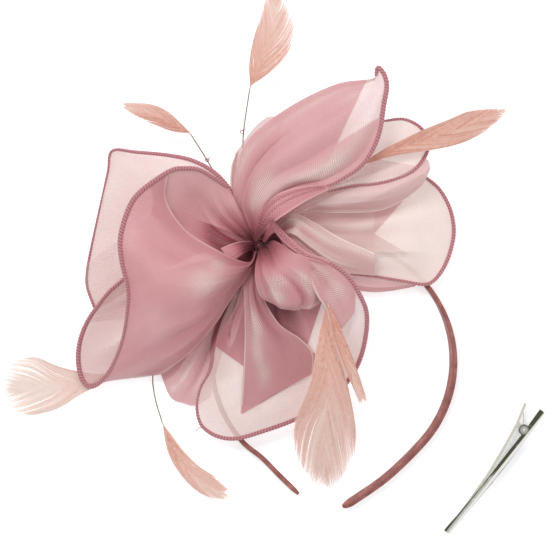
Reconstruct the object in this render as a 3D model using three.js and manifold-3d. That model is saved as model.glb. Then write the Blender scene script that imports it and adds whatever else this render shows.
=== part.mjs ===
// A fascinator headpiece lying flat: an organza flower with feathers on a round base,
// a ribbon-covered headband that slides through two loops under the base, and a loose
// hair clip beside it. Millimetres, +Z up. Points are given from the flower's gathered
// centre, with heights above the surface that the headpiece lies on.

import * as THREE from "three";
import Module from "manifold-3d";

const wasm = await Module();
wasm.setup();

// ---- driving dimensions ----

const GAP = 0.3; // clearance kept between neighbouring pieces
const PETAL_THICK = 0.6;
const HEM_RADIUS = 0.9;
const STEM_RADIUS = 0.4;
const VANE_THICK = 0.6;

const BAND_CENTRE = [37, -56.6]; // centre of the headband's round stretch
const BAND_RADIUS = 58.3;
const BAND_HEIGHT = 5; // the band's width, standing on edge
const BAND_THICK = 2.4;
const BAND_Z = 3.5;
const RIBBON_THICK = 0.4;
const CORE_THICK = 1.0;
const CORE_HEIGHT = 3.6;
const BAND_LEAN = 32; // degrees the right limb leans outwards
const LEAN_END = 0.42; // share of the band's length at which the lean ends
const LEAN_EASE = 0.22; // share of its length over which it eases in
const BAND_ARC = { from: -44, to: 222, step: 14 }; // degrees round the band's centre
const BAND_STEPS = 56;
const TIP_LENGTH = 5;
// along each wrapped tip: [share of its length, share of the thickness, share of the height]
const TIP_STATIONS = [[0, 1, 1], [0.55, 0.95, 0.8], [0.85, 0.8, 0.5], [1, 0.5, 0.22]];

const BASE_RADIUS = 21;
const BASE_THICK = 1.6;
const BASE_Z = 8.8;
const FELT_RADIUS = 20;
const FELT_THICK = 1.0;
const FELT_Z = 7.4;
const LOOP_WIDTH = 6;
const LOOP_WALL = 0.5;
const LOOP_CLEAR = 0.5;
const LOOP_ANGLES = { left: 139, right: 115 }; // degrees round the band's centre

const RISE_FROM = 12; // the flower's heights above this are stretched by RISE
const RISE = 1.5;

const KNOT_RADIUS = 4.6;
const KNOT_X = 1.5;
const KNOT_Y = -1;
const KNOT_Z = 24;
const KNOT_TALL = 1.4; // height over width
const THREAD_RADIUS = 0.5;
const THREAD_RING = 3.4;

const CLIP_PIVOT = [129.4, -89.6];
const CLIP_TURN = 233; // degrees from +X to the clip's tip
const CLIP_REACH = 62; // pivot to tip
const CLIP_TAIL = 12.6; // pivot to lever end
const CLIP_HEIGHT = 6.4;
const SHEET_METAL = 0.6;
const BODY_FLANGE = 3.0;
const LEVER_FLANGE = 1.3;
const BODY_EAR = 2.6;
const LEVER_EAR = 1.5;
const PIN_RADIUS = 0.7;
const HOLE_RADIUS = 0.9;
const SPRING_WIRE = 0.25;
const SPRING_RADIUS = 1.4;
const SPRING_PITCH = 0.75;
const SPRING_TURNS = 2.5;
const PIN_START = 0.05;
const PIN_HEAD = 0.4; // how far the pin stands above the clip
// outer edges, from the pivot along the clip: tail to tip, and tip to tail
const BODY_EDGE = [[-CLIP_TAIL, 3.3], [0, 3.7], [30, 3.2], [CLIP_REACH, 1.5]];
const LEVER_EDGE = [
  [CLIP_REACH, -1.1], [44, -0.9], [28, -1.5], [12, -3.2], [0, -5], [-10.7, -7.8],
];
const BODY_EAR_ROOT = 1.4; // where each ear's bridge meets its leaf's flange
const LEVER_EAR_ROOT = -3.9;
const BODY_LEG = [[-8, 1.2], [-3, 1.3]]; // the spring's legs, in the same directions
const LEVER_LEG = [[-3, -2.6], [-6.5, -5.3]];

// ---- materials ----

const finish = (color, roughness, metalness = 0) =>
  new THREE.MeshStandardMaterial({ color, roughness, metalness });

const organza = finish(0xd9a3ae, 0.5);
const hemThread = finish(0xa8606c, 0.7);
const satin = finish(0xba7d76, 0.45);
const steelStrip = finish(0x8d8f92, 0.4, 0.9);
const felt = finish(0xc79a9f, 0.95);
const sinamay = finish(0xcfa0a4, 0.8);
const featherPink = finish(0xe2a797, 0.8);
const stemWire = finish(0x8a8069, 0.6);
const nickel = finish(0xc9c7bf, 0.25, 1);

// ---- geometry helpers ----

const point = ([x, y, z]) => new THREE.Vector3(x, y, z);
const raised = (z) => z + (RISE - 1) * Math.max(0, z - RISE_FROM);
const raisedAll = (points) => points.map(([x, y, z, ...rest]) => [x, y, raised(z), ...rest]);
const curve = (points) => new THREE.CatmullRomCurve3(points.map(point));
const smooth = (points) => new THREE.CatmullRomCurve3(points, false, "catmullrom", 0.5);
const turn = (degrees) => THREE.MathUtils.degToRad(degrees);

function solidOf(geometry) {
  const position = geometry.getAttribute("position");
  return new wasm.Manifold(new wasm.Mesh({
    numProp: 3,
    vertProperties: Float32Array.from(position.array),
    triVerts: Uint32Array.from(geometry.index.array),
  }));
}

// merges the corners that a three.js geometry repeats, so that it closes
function weld(geometry) {
  const position = geometry.getAttribute("position");
  const found = new Map();
  const vertices = [];
  const order = [];
  for (let i = 0; i < position.count; i++) {
    const corner = [position.getX(i), position.getY(i), position.getZ(i)];
    const key = corner.map((x) => Math.round(x * 1e4)).join(",");
    if (!found.has(key)) {
      found.set(key, vertices.length / 3);
      vertices.push(...corner);
    }
    order.push(found.get(key));
  }
  const list = geometry.index ? Array.from(geometry.index.array, (i) => order[i]) : order;
  const kept = [];
  for (let i = 0; i < list.length; i += 3) {
    const [a, b, c] = list.slice(i, i + 3);
    if (a !== b && b !== c && a !== c) kept.push(a, b, c);
  }
  return indexed(vertices, kept);
}

function indexed(vertices, triangles) {
  const geometry = new THREE.BufferGeometry();
  geometry.setAttribute("position", new THREE.Float32BufferAttribute(vertices, 3));
  geometry.setIndex(triangles);
  return geometry;
}

function geometryOf(solid) {
  const mesh = solid.getMesh();
  const vertices = [];
  for (let i = 0; i < mesh.numVert; i++) {
    const at = i * mesh.numProp;
    vertices.push(...mesh.vertProperties.slice(at, at + 3));
  }
  return weld(indexed(vertices, Array.from(mesh.triVerts)));
}

// a closed sweep: each ring is the same outline, carried along the piece
function loft(rings, cap) {
  const count = rings[0].length;
  const vertices = rings.flat().flatMap((p) => [p.x, p.y, p.z]);
  const triangles = [];
  for (let r = 0; r + 1 < rings.length; r++) {
    for (let i = 0; i < count; i++) {
      const a = r * count + i;
      const b = r * count + (i + 1) % count;
      triangles.push(a, b, b + count, a, b + count, a + count);
    }
  }
  const last = (rings.length - 1) * count;
  for (const [a, b, c] of cap) {
    triangles.push(a, c, b, last + a, last + b, last + c);
  }
  return outward(indexed(vertices, triangles));
}

// turns a closed mesh so that its faces point out
function outward(geometry) {
  const position = geometry.getAttribute("position");
  const index = Array.from(geometry.index.array);
  const corner = (i) => new THREE.Vector3().fromBufferAttribute(position, index[i]);
  let volume = 0;
  for (let i = 0; i < index.length; i += 3) {
    volume += corner(i).dot(corner(i + 1).cross(corner(i + 2)));
  }
  if (volume < 0) index.reverse();
  geometry.setIndex(index);
  return geometry;
}

// an outline in [across, up], swept along a path of frames { at, across, up }
function sweep(outline, frames) {
  const flat = outline.map(([x, y]) => new THREE.Vector2(x, y));
  const rings = frames.map(({ at, across, up }) =>
    outline.map(([x, y]) => at.clone().addScaledVector(across, x).addScaledVector(up, y)));
  return loft(rings, THREE.ShapeUtils.triangulateShape(flat, []));
}

const rectangle = (width, height) => [
  [-width / 2, -height / 2],
  [width / 2, -height / 2],
  [width / 2, height / 2],
  [-width / 2, height / 2],
];

function tube(points, radius, steps, sides = 6) {
  const shape = new THREE.Shape();
  for (let i = 0; i < sides; i++) {
    const angle = (i / sides) * Math.PI * 2;
    const at = [Math.cos(angle) * radius, Math.sin(angle) * radius];
    if (i) shape.lineTo(...at);
    else shape.moveTo(...at);
  }
  const geometry = new THREE.ExtrudeGeometry(shape, {
    steps,
    bevelEnabled: false,
    extrudePath: curve(points),
  });
  return outward(weld(geometry));
}

// the sheet through a list of ribs, each a list of points across it
function sheetGrid(ribs, columns, rows) {
  const ribCurves = ribs.map((rib) => smooth(rib.map(point)));
  const grid = [];
  for (let i = 0; i <= columns; i++) {
    const along = smooth(ribCurves.map((rib) => rib.getPointAt(i / columns)));
    grid.push(Array.from({ length: rows + 1 }, (_, j) => along.getPoint(j / rows)));
  }
  return grid;
}

function sheetNormal(grid, i, j) {
  const columns = grid.length - 1;
  const rows = grid[0].length - 1;
  const acrossEnd = grid[Math.min(i + 1, columns)][j];
  const acrossStart = grid[Math.max(i - 1, 0)][j];
  const alongEnd = grid[i][Math.min(j + 1, rows)];
  const alongStart = grid[i][Math.max(j - 1, 0)];
  const across = acrossEnd.clone().sub(acrossStart);
  const along = alongEnd.clone().sub(alongStart);
  return across.cross(along).normalize();
}

// moves the sheet's edges outwards in its own surface
function widened(grid, border) {
  const copy = grid.map((column) => column.map((p) => p.clone()));
  const push = (to, from, inner) =>
    to.addScaledVector(from.clone().sub(inner).normalize(), border);
  const columns = grid.length - 1;
  const rows = grid[0].length - 1;
  for (let j = 0; j <= rows; j++) {
    push(copy[0][j], grid[0][j], grid[1][j]);
    push(copy[columns][j], grid[columns][j], grid[columns - 1][j]);
  }
  for (let i = 0; i <= columns; i++) {
    push(copy[i][0], grid[i][0], grid[i][1]);
    push(copy[i][rows], grid[i][rows], grid[i][rows - 1]);
  }
  return copy;
}

// a thin closed shell about a sheet of points
function shell(grid, thickness) {
  const columns = grid.length;
  const rows = grid[0].length;
  const vertices = [];
  for (const side of [0.5, -0.5]) {
    for (let i = 0; i < columns; i++) {
      for (let j = 0; j < rows; j++) {
        const normal = sheetNormal(grid, i, j);
        const p = grid[i][j].clone().addScaledVector(normal, side * thickness);
        vertices.push(p.x, p.y, p.z);
      }
    }
  }
  const under = columns * rows;
  const triangles = [];
  const quad = (a, b, c, d) => triangles.push(a, b, c, a, c, d);
  for (let i = 0; i + 1 < columns; i++) {
    for (let j = 0; j + 1 < rows; j++) {
      const a = i * rows + j;
      quad(a, a + rows, a + rows + 1, a + 1);
      quad(under + a, under + a + 1, under + a + rows + 1, under + a + rows);
    }
  }
  const edge = [];
  for (let i = 0; i < columns - 1; i++) edge.push(i * rows);
  for (let j = 0; j < rows - 1; j++) edge.push((columns - 1) * rows + j);
  for (let i = columns - 1; i > 0; i--) edge.push(i * rows + rows - 1);
  for (let j = rows - 1; j > 0; j--) edge.push(j);
  edge.forEach((a, k) => {
    const b = edge[(k + 1) % edge.length];
    quad(a, under + a, under + b, b);
  });
  return outward(indexed(vertices, triangles));
}

// ---- the assembly ----

const group = new THREE.Group();
const laid = []; // what later pieces are trimmed clear of

function largestPart(solid) {
  return solid.decompose().reduce((a, b) => (b.volume() > a.volume() ? b : a));
}

function addMesh(name, geometry, material) {
  const mesh = new THREE.Mesh(geometry, material);
  mesh.name = name;
  group.add(mesh);
  return mesh;
}

function boxesMeet(a, b) {
  const p = a.boundingBox();
  const q = b.boundingBox();
  return [0, 1, 2].every((k) => p.min[k] < q.max[k] && q.min[k] < p.max[k]);
}

// adds a piece, trimmed clear of those laid before it; later ones are cut by its keepOut
function lay(name, geometry, keepOut, material) {
  let solid = solidOf(geometry);
  for (const other of laid) {
    if (boxesMeet(solid, other)) solid = solid.subtract(other);
  }
  solid = largestPart(solid);
  laid.push(solidOf(keepOut));
  addMesh(name, geometryOf(solid), material);
}

// ---- headband ----

const bandPoint = (degrees, z = BAND_Z) => new THREE.Vector3(
  BAND_CENTRE[0] + BAND_RADIUS * Math.cos(turn(degrees)),
  BAND_CENTRE[1] + BAND_RADIUS * Math.sin(turn(degrees)),
  z,
);

function bandPath() {
  const arc = [];
  for (let a = BAND_ARC.from; a <= BAND_ARC.to; a += BAND_ARC.step) arc.push(bandPoint(a));
  const rightEnd = [[41.7, -126.9], [47.5, -123.4], [63.2, -112.3]];
  const leftEnd = [[2.9, -103.2], [11.5, -111.9], [20.6, -120.7]];
  const flatPoint = ([x, y]) => new THREE.Vector3(x, y, BAND_Z);
  return new THREE.CatmullRomCurve3([
    ...rightEnd.map(flatPoint), ...arc, ...leftEnd.map(flatPoint),
  ]);
}

// the band stands on edge at the left and leans outwards along its right limb
function bandFrame(path, share) {
  const at = path.getPointAt(share);
  const along = path.getTangentAt(share);
  const out = new THREE.Vector3(along.y, -along.x, 0);
  const lean = turn(BAND_LEAN) * THREE.MathUtils.smoothstep(LEAN_END - share, 0, LEAN_EASE);
  const across = out.clone().multiplyScalar(Math.cos(lean));
  across.z = -Math.sin(lean);
  const up = out.clone().multiplyScalar(Math.sin(lean));
  up.z = Math.cos(lean);
  return { at, across, up };
}

function bandFrames(path, from, to, steps) {
  return Array.from({ length: steps + 1 }, (_, i) =>
    bandFrame(path, from + ((to - from) * i) / steps));
}

function addHeadband() {
  const path = bandPath();
  const length = path.getLength();
  const end = TIP_LENGTH / length;
  const gap = GAP / length;
  const outside = rectangle(BAND_THICK, BAND_HEIGHT);
  const bore = rectangle(BAND_THICK - 2 * RIBBON_THICK, BAND_HEIGHT - 2 * RIBBON_THICK);
  const sleeve = solidOf(sweep(outside, bandFrames(path, end, 1 - end, BAND_STEPS)));
  const channel = solidOf(
    sweep(bore, bandFrames(path, end - gap, 1 - end + gap, BAND_STEPS)),
  );
  addMesh("band_ribbon", geometryOf(sleeve.subtract(channel)), satin);
  const strip = rectangle(CORE_THICK, CORE_HEIGHT);
  addMesh("band_core", sweep(strip, bandFrames(path, end, 1 - end, BAND_STEPS)), steelStrip);
  addMesh("band_tip_right", bandTip(path, end - gap, 0), satin);
  addMesh("band_tip_left", bandTip(path, 1 - end + gap, 1), satin);
}

// a wrapped end that narrows to a blunt point
function bandTip(path, from, to) {
  const rings = TIP_STATIONS.map(([share, thick, tall]) => {
    const { at, across, up } = bandFrame(path, from + (to - from) * share);
    return rectangle(BAND_THICK * thick, BAND_HEIGHT * tall).map(([x, y]) =>
      at.clone().addScaledVector(across, x).addScaledVector(up, y));
  });
  return loft(rings, [[0, 1, 2], [0, 2, 3]]);
}

// ---- base under the flower ----

function disc(radius, thickness, sides) {
  const profile = [
    new THREE.Vector2(0, 0),
    new THREE.Vector2(radius, 0),
    new THREE.Vector2(radius, thickness),
    new THREE.Vector2(0, thickness),
  ];
  const geometry = new THREE.LatheGeometry(profile, sides);
  geometry.rotateX(Math.PI / 2);
  return outward(weld(geometry));
}

// a rectangular loop standing round the band, open along it
function keeperLoop(degrees) {
  const wide = BAND_THICK + 2 * LOOP_CLEAR;
  const tall = BAND_HEIGHT + 2 * LOOP_CLEAR;
  const shape = new THREE.Shape(rectangle(wide + 2 * LOOP_WALL, tall + 2 * LOOP_WALL)
    .map(([x, y]) => new THREE.Vector2(x, y)));
  shape.holes.push(new THREE.Path(rectangle(wide, tall)
    .map(([x, y]) => new THREE.Vector2(x, y))));
  const geometry = new THREE.ExtrudeGeometry(shape, { depth: LOOP_WIDTH, bevelEnabled: false });
  geometry.translate(0, 0, -LOOP_WIDTH / 2);
  geometry.rotateX(Math.PI / 2);
  geometry.rotateZ(turn(degrees));
  const at = bandPoint(degrees);
  geometry.translate(at.x, at.y, at.z);
  return outward(weld(geometry));
}

function addFoundation() {
  for (const [side, degrees] of Object.entries(LOOP_ANGLES)) {
    addMesh(`keeper_loop_${side}`, keeperLoop(degrees), satin);
  }
  const backing = disc(FELT_RADIUS, FELT_THICK, 28);
  backing.translate(0, 0, FELT_Z);
  addMesh("backing_felt", backing, felt);
  const base = disc(BASE_RADIUS, BASE_THICK, 28);
  base.translate(0, 0, BASE_Z);
  const above = disc(BASE_RADIUS + 1, BASE_THICK + 2 * GAP, 28);
  above.translate(0, 0, BASE_Z - GAP);
  lay("base_disc", base, above, sinamay);
}

// ---- gathered centre ----

function ball(radius, tall) {
  const geometry = new THREE.SphereGeometry(radius, 10, 8);
  geometry.scale(1, 1, tall);
  return outward(weld(geometry));
}

function addCentre() {
  const [x, y, z] = [KNOT_X, KNOT_Y, raised(KNOT_Z)];
  const knot = ball(KNOT_RADIUS, KNOT_TALL).translate(x, y, z);
  const around = ball(KNOT_RADIUS + GAP, KNOT_TALL).translate(x, y, z);
  lay("gather_knot", knot, around, organza);
  const ring = (wire) => {
    const torus = new THREE.TorusGeometry(THREAD_RING, wire, 6, 20);
    torus.translate(x, y, z - KNOT_RADIUS * KNOT_TALL);
    return outward(weld(torus));
  };
  lay("binding_thread", ring(THREAD_RADIUS), ring(THREAD_RADIUS + GAP), hemThread);
}

// ---- feathers ----

// stem: points of the bare quill; spine: the vane's middle line with its half widths
const FEATHERS = {
  top: {
    stem: [[-2, 10, 12], [-5, 30, 13], [-6.2, 50.4, 14], [-3.1, 74.1, 16]],
    spine: [
      [-2.6, 76, 16, 1.2, 1.2], [0.5, 84, 17, 4.2, 6], [5, 96, 18, 6.4, 11],
      [8.5, 106, 18, 6.6, 10], [9.5, 117, 17, 5, 3.5], [8.5, 124, 16, 1.2, 1.2],
    ],
  },
  upper_left: {
    stem: [[-6, 9, 12], [-14, 24, 13], [-23.5, 40.3, 16], [-31, 52.3, 18]],
    spine: [
      [-32, 53.5, 18, 1.2, 1.2], [-39, 57, 18.5, 3.2, 3], [-47, 61, 19, 4, 4.5],
      [-56, 64, 18.5, 3, 4], [-65.5, 67.3, 17.5, 0.8, 0.8],
    ],
  },
  right: {
    stem: [[9, 8, 22.5], [14, 14, 25.5], [32, 27, 29.5], [50, 37.2, 30]],
    spine: [
      [52, 38.4, 30, 0.9, 0.9], [60, 42.4, 29.3, 1.6, 1.6], [69, 46, 28, 2.6, 3],
      [80, 49.8, 27, 4, 5.2], [94, 54, 25.5, 5.4, 6.6], [107, 59, 22.5, 5.4, 6],
      [121.2, 64.6, 19, 0.8, 0.8],
    ],
  },
  left: {
    stem: [[-8, -8, 12], [-18, -20, 8], [-34, -36, 6.5], [-56, -53, 2.2], [-68, -61.4, 1.2]],
    spine: [
      [-70, -62.6, 1, 1, 1], [-78, -65.6, 0.9, 3, 3], [-87, -67.2, 1.3, 5.9, 5.9],
      [-99, -69, 2.8, 11.2, 11.2], [-110, -68.6, 3.6, 14, 14], [-118, -69, 3.4, 11.5, 11.5],
      [-122.5, -69.4, 3, 4.5, 4.5],
    ],
  },
  lower_left: {
    stem: [
      [-6, -10, 12], [-16, -24, 8], [-32, -38, 5.4], [-46, -53, 2.2], [-49.8, -63.2, 1.5],
      [-48.9, -73.9, 1.4], [-45.6, -85.5, 1.7],
    ],
    spine: [
      [-44.8, -87.6, 1.9, 0.8, 0.8], [-38.8, -100.5, 3, 3, 3.2], [-31, -110.5, 3.4, 4.4, 4.4],
      [-22.4, -117, 3.2, 5, 4.6], [-12.6, -121.5, 2.6, 2.4, 2.4],
    ],
  },
  front: {
    stem: [[9, -6, 27.5], [20, -16, 29], [33.1, -28.8, 31.5]],
    spine: [
      [33.4, -31, 31.8, 1.5, 1.5], [33.6, -50, 32, 5, 5], [34.8, -64, 29.5, 8, 8],
      [34.5, -76, 26, 11.4, 11.4], [33.3, -88, 21.5, 14.3, 14.3], [32.9, -98, 17.8, 14, 14],
      [33.1, -108, 14.4, 10.5, 10.5], [32.8, -117.5, 11, 4, 4],
    ],
  },
  front_small: {
    stem: [[11, -4, 28.5], [22, -13, 31], [34, -28, 34.5]],
    spine: [
      [34.8, -30, 34.7, 1, 1], [40.2, -45.8, 35, 2.2, 2.2], [45.8, -60.5, 32.5, 2.4, 2.4],
      [51.6, -76, 28, 1.9, 1.9],
    ],
  },
};

// the vane's ribs run across it, from its right edge to its left
function vaneRibs(spine) {
  const middle = spine.map(point);
  return spine.map(([, , , left, right], i) => {
    const ahead = middle[Math.min(i + 1, middle.length - 1)];
    const behind = middle[Math.max(i - 1, 0)];
    const along = ahead.clone().sub(behind).normalize();
    const side = new THREE.Vector3(-along.y, along.x, 0).normalize();
    const to = (reach, drop) => middle[i].clone().addScaledVector(side, reach)
      .add(new THREE.Vector3(0, 0, drop)).toArray();
    return [to(-right, -0.04 * right), to(0, 0), to(left, -0.04 * left)];
  });
}

function addFeathers() {
  for (const [name, { stem, spine }] of Object.entries(FEATHERS)) {
    const route = raisedAll(stem);
    const steps = 2 * stem.length;
    const quill = tube(route, STEM_RADIUS, steps, 6);
    lay(`stem_${name}`, quill, tube(route, STEM_RADIUS + GAP, steps, 6), stemWire);
    const grid = sheetGrid(vaneRibs(raisedAll(spine)), 4, 2 * (spine.length - 1));
    const around = shell(widened(grid, GAP), VANE_THICK + 2 * GAP);
    lay(`feather_${name}`, shell(grid, VANE_THICK), around, featherPink);
  }
}

// ---- petals ----

// each petal's ribs run across it, from the gathered centre outwards
const PETALS = {
  centre_puff: [
    [[0.5, -7, 28], [5, -4.5, 29], [8, 0.5, 29]],
    [[0.2, -15, 32], [8, -15, 37.5], [16, -8, 36]],
    [[1.2, -22, 30], [12, -25, 36], [21, -20, 37], [23, -9, 36.5]],
    [[4.7, -26.2, 27.5], [14.9, -30.7, 29], [24, -30, 30], [30, -24, 31], [27, -15, 34]],
  ],
  petal_top: [
    [[-5, 8, 21], [-1, 9, 24], [3, 8, 26]],
    [[-9.3, 20, 22], [-2, 20, 30], [8, 19.5, 31]],
    [[-9, 34, 24], [4, 34, 34], [20, 26, 32]],
    [[-3, 49.5, 26], [16, 44, 36], [35, 28.5, 33]],
    [[15.8, 64.6, 28], [33, 56, 37], [51, 38.5, 34]],
    [[37.8, 75.6, 30], [50, 66, 36], [59.5, 55.5, 35]],
    [[52, 78, 31], [58, 73, 34], [62.2, 70, 34]],
    [[56, 79, 32], [58.5, 81, 33.5], [61.6, 79, 34]],
  ],
  petal_bottom: [
    [[-4, -9, 16], [0, -10.5, 17], [5, -9, 18], [9, -3, 20], [7, 3, 23]],
    [[-6, -18, 18], [0, -28, 20], [12, -30, 22], [22, -18, 27], [15, -2, 30]],
    [[-13, -40, 17], [-8, -62, 15], [12, -66, 15], [30, -52, 18], [39, -34, 26], [26, -10, 33]],
    [
      [-7.7, -26.9, 19], [-17.3, -43.7, 16], [-21.6, -60.4, 13], [-27.4, -70, 11.5],
      [-28.2, -80, 11], [-25, -88.7, 10.5], [-17, -93, 10.5], [-6, -93.2, 10.5],
      [3.8, -90, 10.5], [18.7, -84.5, 11.5], [32, -77, 13.5], [42.7, -67.7, 16],
      [49, -57.6, 20], [52.3, -46.1, 24], [53.1, -34.1, 28], [46.5, -18.5, 33],
      [34.1, -8.8, 35], [21.4, -4.3, 35], [12.4, 3.4, 33],
    ],
  ],
  petal_left_scoop: [
    [[-2, 7, 22], [-6, 5, 24], [-7, -1, 24], [-4, -8, 20]],
    [[-8, 17, 26], [-20, 16, 26], [-24, 2, 28], [-20, -14, 28], [-10, -24, 20]],
    [[-11, 23, 27], [-30, 27, 28], [-42, 16, 29], [-45, -8, 34], [-40, -34, 31], [-24, -46, 17]],
    [
      [-13, 26.9, 28], [-25.6, 34.8, 31], [-41.5, 34.4, 34], [-55.2, 24.5, 36],
      [-63.8, 8.6, 37], [-63.8, -5.8, 36], [-61, -21.6, 33], [-63, -41.6, 25],
      [-69.4, -59, 14], [-74, -65.5, 9], [-62, -64.8, 8], [-48, -63, 9],
    ],
  ],
  petal_right_fold: [
    [[8.5, 3.5, 19], [9.5, 1.5, 18]],
    [[33, 23, 24], [34, 15.5, 20.5]],
    [[57, 27.5, 25], [60, 17.3, 19.5]],
    [[76.5, 34, 21.5], [79, 28, 18]],
    [[82, 41, 19], [84, 37, 17]],
  ],
  petal_right_upper: [
    [[3, 7, 19.5], [6, 6, 20], [8, 5, 20.5]],
    [[22, 30, 21.5], [28, 26, 24], [33, 24.5, 26]],
    [[42, 46, 23.5], [50, 38, 24], [56, 29.5, 27]],
    [[61, 58.8, 25], [66, 50, 23.5], [70.4, 33.5, 25]],
    [[70.4, 59.8, 24], [77.8, 56.7, 22.5], [82.6, 48.5, 21.5], [80.5, 41, 22], [76.2, 36, 23]],
  ],
  petal_left_inner: [
    [[-7.5, -3, 15], [-6.5, -7, 15], [-4, -10, 15]],
    [[-26, -8, 13], [-28, -24, 13], [-16, -30, 13.5]],
    [[-50, -14, 11], [-56, -38, 10], [-40, -50, 10], [-28, -48, 11]],
    [
      [-63, -16.1, 10], [-71, -23.3, 9], [-77.3, -31.2, 8], [-82.1, -38.4, 6.5],
      [-85, -47, 5], [-85.7, -56, 4], [-84.5, -63.8, 3.5], [-80, -68, 3.5],
      [-70, -66, 4], [-57.6, -64.5, 5], [-46, -63, 6],
    ],
  ],
  petal_right: [
    [[7, -3, 14.5], [8.5, 1, 15.5], [7.5, 4.5, 15.5]],
    [[24, -9, 15], [26, 3, 19], [24, 13, 16]],
    [[46, -14.4, 13], [52, 0, 17.5], [50, 20, 15]],
    [[70.4, -17.7, 10.5], [76, 4, 13.5], [68, 28, 14]],
    [
      [80.9, -19.4, 9], [87, -16.5, 6.5], [91.5, -9.5, 4], [94.8, 0.5, 2.2],
      [95.4, 8, 2.2], [93.1, 18.4, 4], [88, 27, 7], [80, 33.5, 10.5],
    ],
  ],
  petal_left_back: [
    [[-4, 7, 16], [-6.5, 4, 16.5], [-8, -1, 16]],
    [[-6.5, 13, 18], [-17, 16, 19], [-24, 8, 18], [-26, -4, 15]],
    [[-8, 18, 19.5], [-30, 28, 18], [-48, 24, 15], [-53, 4, 13], [-51, -16, 9]],
    [
      [-9.6, 21.1, 20], [-17.8, 32.4, 18.5], [-25.6, 37.9, 16.5], [-41.5, 42.7, 12],
      [-57.6, 44.4, 7], [-66.5, 45.4, 3.5], [-70.4, 42, 2], [-73.4, 25.9, 1.6],
      [-79.7, -1.9, 1.5], [-81.7, -13.8, 1.8], [-81.3, -21.6, 2.6], [-77.3, -32.2, 4],
    ],
  ],
  petal_top_back: [
    [[-4, 7.5, 16], [0, 9, 17]],
    [[-11, 24, 17.5], [2, 26, 18]],
    [[-11, 36, 19], [8, 40, 19.5]],
    [[-9.6, 44, 20], [-3, 53, 21], [6.4, 61.1, 21.5], [14, 60, 21.5]],
  ],
  petal_lower_left: [
    [[-7, -8.5, 12], [-3.5, -11, 12]],
    [[-20, -30, 11], [-12, -36, 12]],
    [[-38, -56, 6.5], [-30, -64, 8.5], [-20, -60, 10]],
    [[-46.1, -62.9, 3], [-41.3, -73.9, 2], [-35, -76.8, 2], [-29.3, -77.8, 4], [-23, -74, 8.5]],
  ],
};

// the corded edges, each a tube along the petal's free edge
const HEMS = {
  top: [
    [57.4, 79.5, 32], [58.3, 84, 33], [61.4, 80.2, 34], [62.4, 74.5, 34.3], [61, 66.2, 34.8],
    [59.3, 55.2, 35], [57.1, 48.1, 34.8], [53.3, 40.9, 34.4], [48.9, 36, 34], [43.2, 32.2, 33.5],
    [35, 28, 33], [26.8, 27.2, 32.6], [18.5, 25.4, 32], [10.3, 21, 31], [5.2, 15, 29],
    [2.4, 10, 27],
  ],
  bottom: [
    [-7.7, -26.9, 19], [-17.3, -43.7, 16], [-21.6, -60.4, 13], [-26.4, -68.6, 11.5],
    [-28.4, -76.5, 11], [-27.8, -83.5, 10.7], [-25, -88.7, 10.5], [-18, -92.8, 10.5],
    [-9, -93.6, 10.5], [3.8, -90, 10.5], [18.7, -84.5, 11.5], [32, -77, 13.5],
    [42.7, -67.7, 16], [49, -57.6, 20], [52.3, -46.1, 24], [53.1, -34.1, 28],
    [50.4, -25.9, 31], [44, -15.8, 33.6], [34.1, -8.8, 35], [21.4, -4.3, 35], [13, 3, 33],
  ],
  left_scoop: [
    [-13, 26.9, 28], [-25.6, 34.8, 31], [-33.6, 36, 32.5], [-41.5, 34.4, 34],
    [-55.2, 24.5, 36], [-60.8, 16, 36.6], [-64.4, 3, 37], [-63.8, -8, 36], [-61, -21.6, 33],
    [-61.4, -32, 29.5], [-64, -46, 22], [-69.4, -59, 14], [-75, -66.4, 8], [-80.6, -68.6, 4],
    [-84.5, -63.8, 3.2], [-85.9, -55, 3.8], [-84.8, -46, 5], [-81.6, -37.8, 6.6],
    [-77.3, -31.2, 8], [-71, -23.3, 9], [-63, -16.1, 10],
  ],
  right_upper: [
    [61, 58.8, 25], [70.4, 59.8, 24], [77.8, 56.7, 22.5], [82, 51.5, 21.8], [82.6, 46.5, 21.5],
    [80.5, 41, 22], [75, 35, 23], [66, 30.8, 24.5], [57, 28.8, 26], [46, 27.6, 26.5],
    [34, 24.8, 26],
  ],
  right: [
    [45.4, -14.4, 13], [58.8, -15.8, 11.8], [70.4, -17.7, 10.5], [80.9, -19.4, 9],
    [86.4, -17, 6.8], [91.5, -9.5, 4], [94.8, 0.5, 2.2], [95.4, 9, 2.2], [93.1, 18.4, 4],
    [88, 27, 7], [80, 33.5, 10.5],
  ],
  left_back: [
    [-9.6, 21.1, 20], [-13, 27, 19.5], [-20, 34.4, 18], [-30, 40, 15.5], [-41.5, 42.7, 12],
    [-57.6, 44.4, 7], [-69.4, 45.1, 2.4], [-71.6, 35, 1.7], [-75, 20, 1.6],
    [-79.7, -1.9, 1.5], [-81.7, -13.8, 1.8], [-81.3, -21.6, 2.6], [-77.3, -32.2, 4],
  ],
};

function addHems() {
  for (const [name, points] of Object.entries(HEMS)) {
    const route = raisedAll(points);
    const steps = Math.round(points.length * 1.6);
    const around = tube(route, HEM_RADIUS + GAP, steps, 6);
    lay(`hem_${name}`, tube(route, HEM_RADIUS, steps, 6), around, hemThread);
  }
}

function addPetals() {
  for (const [name, ribs] of Object.entries(PETALS)) {
    const rows = Math.max(4, ribs.length + 1);
    const columns = Math.max(4, Math.min(12, ribs[ribs.length - 1].length));
    const grid = sheetGrid(ribs.map(raisedAll), columns, rows);
    const around = shell(widened(grid, GAP), PETAL_THICK + 2 * GAP);
    lay(name, shell(grid, PETAL_THICK), around, organza);
  }
}

// ---- hair clip, lying on its side ----

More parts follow.
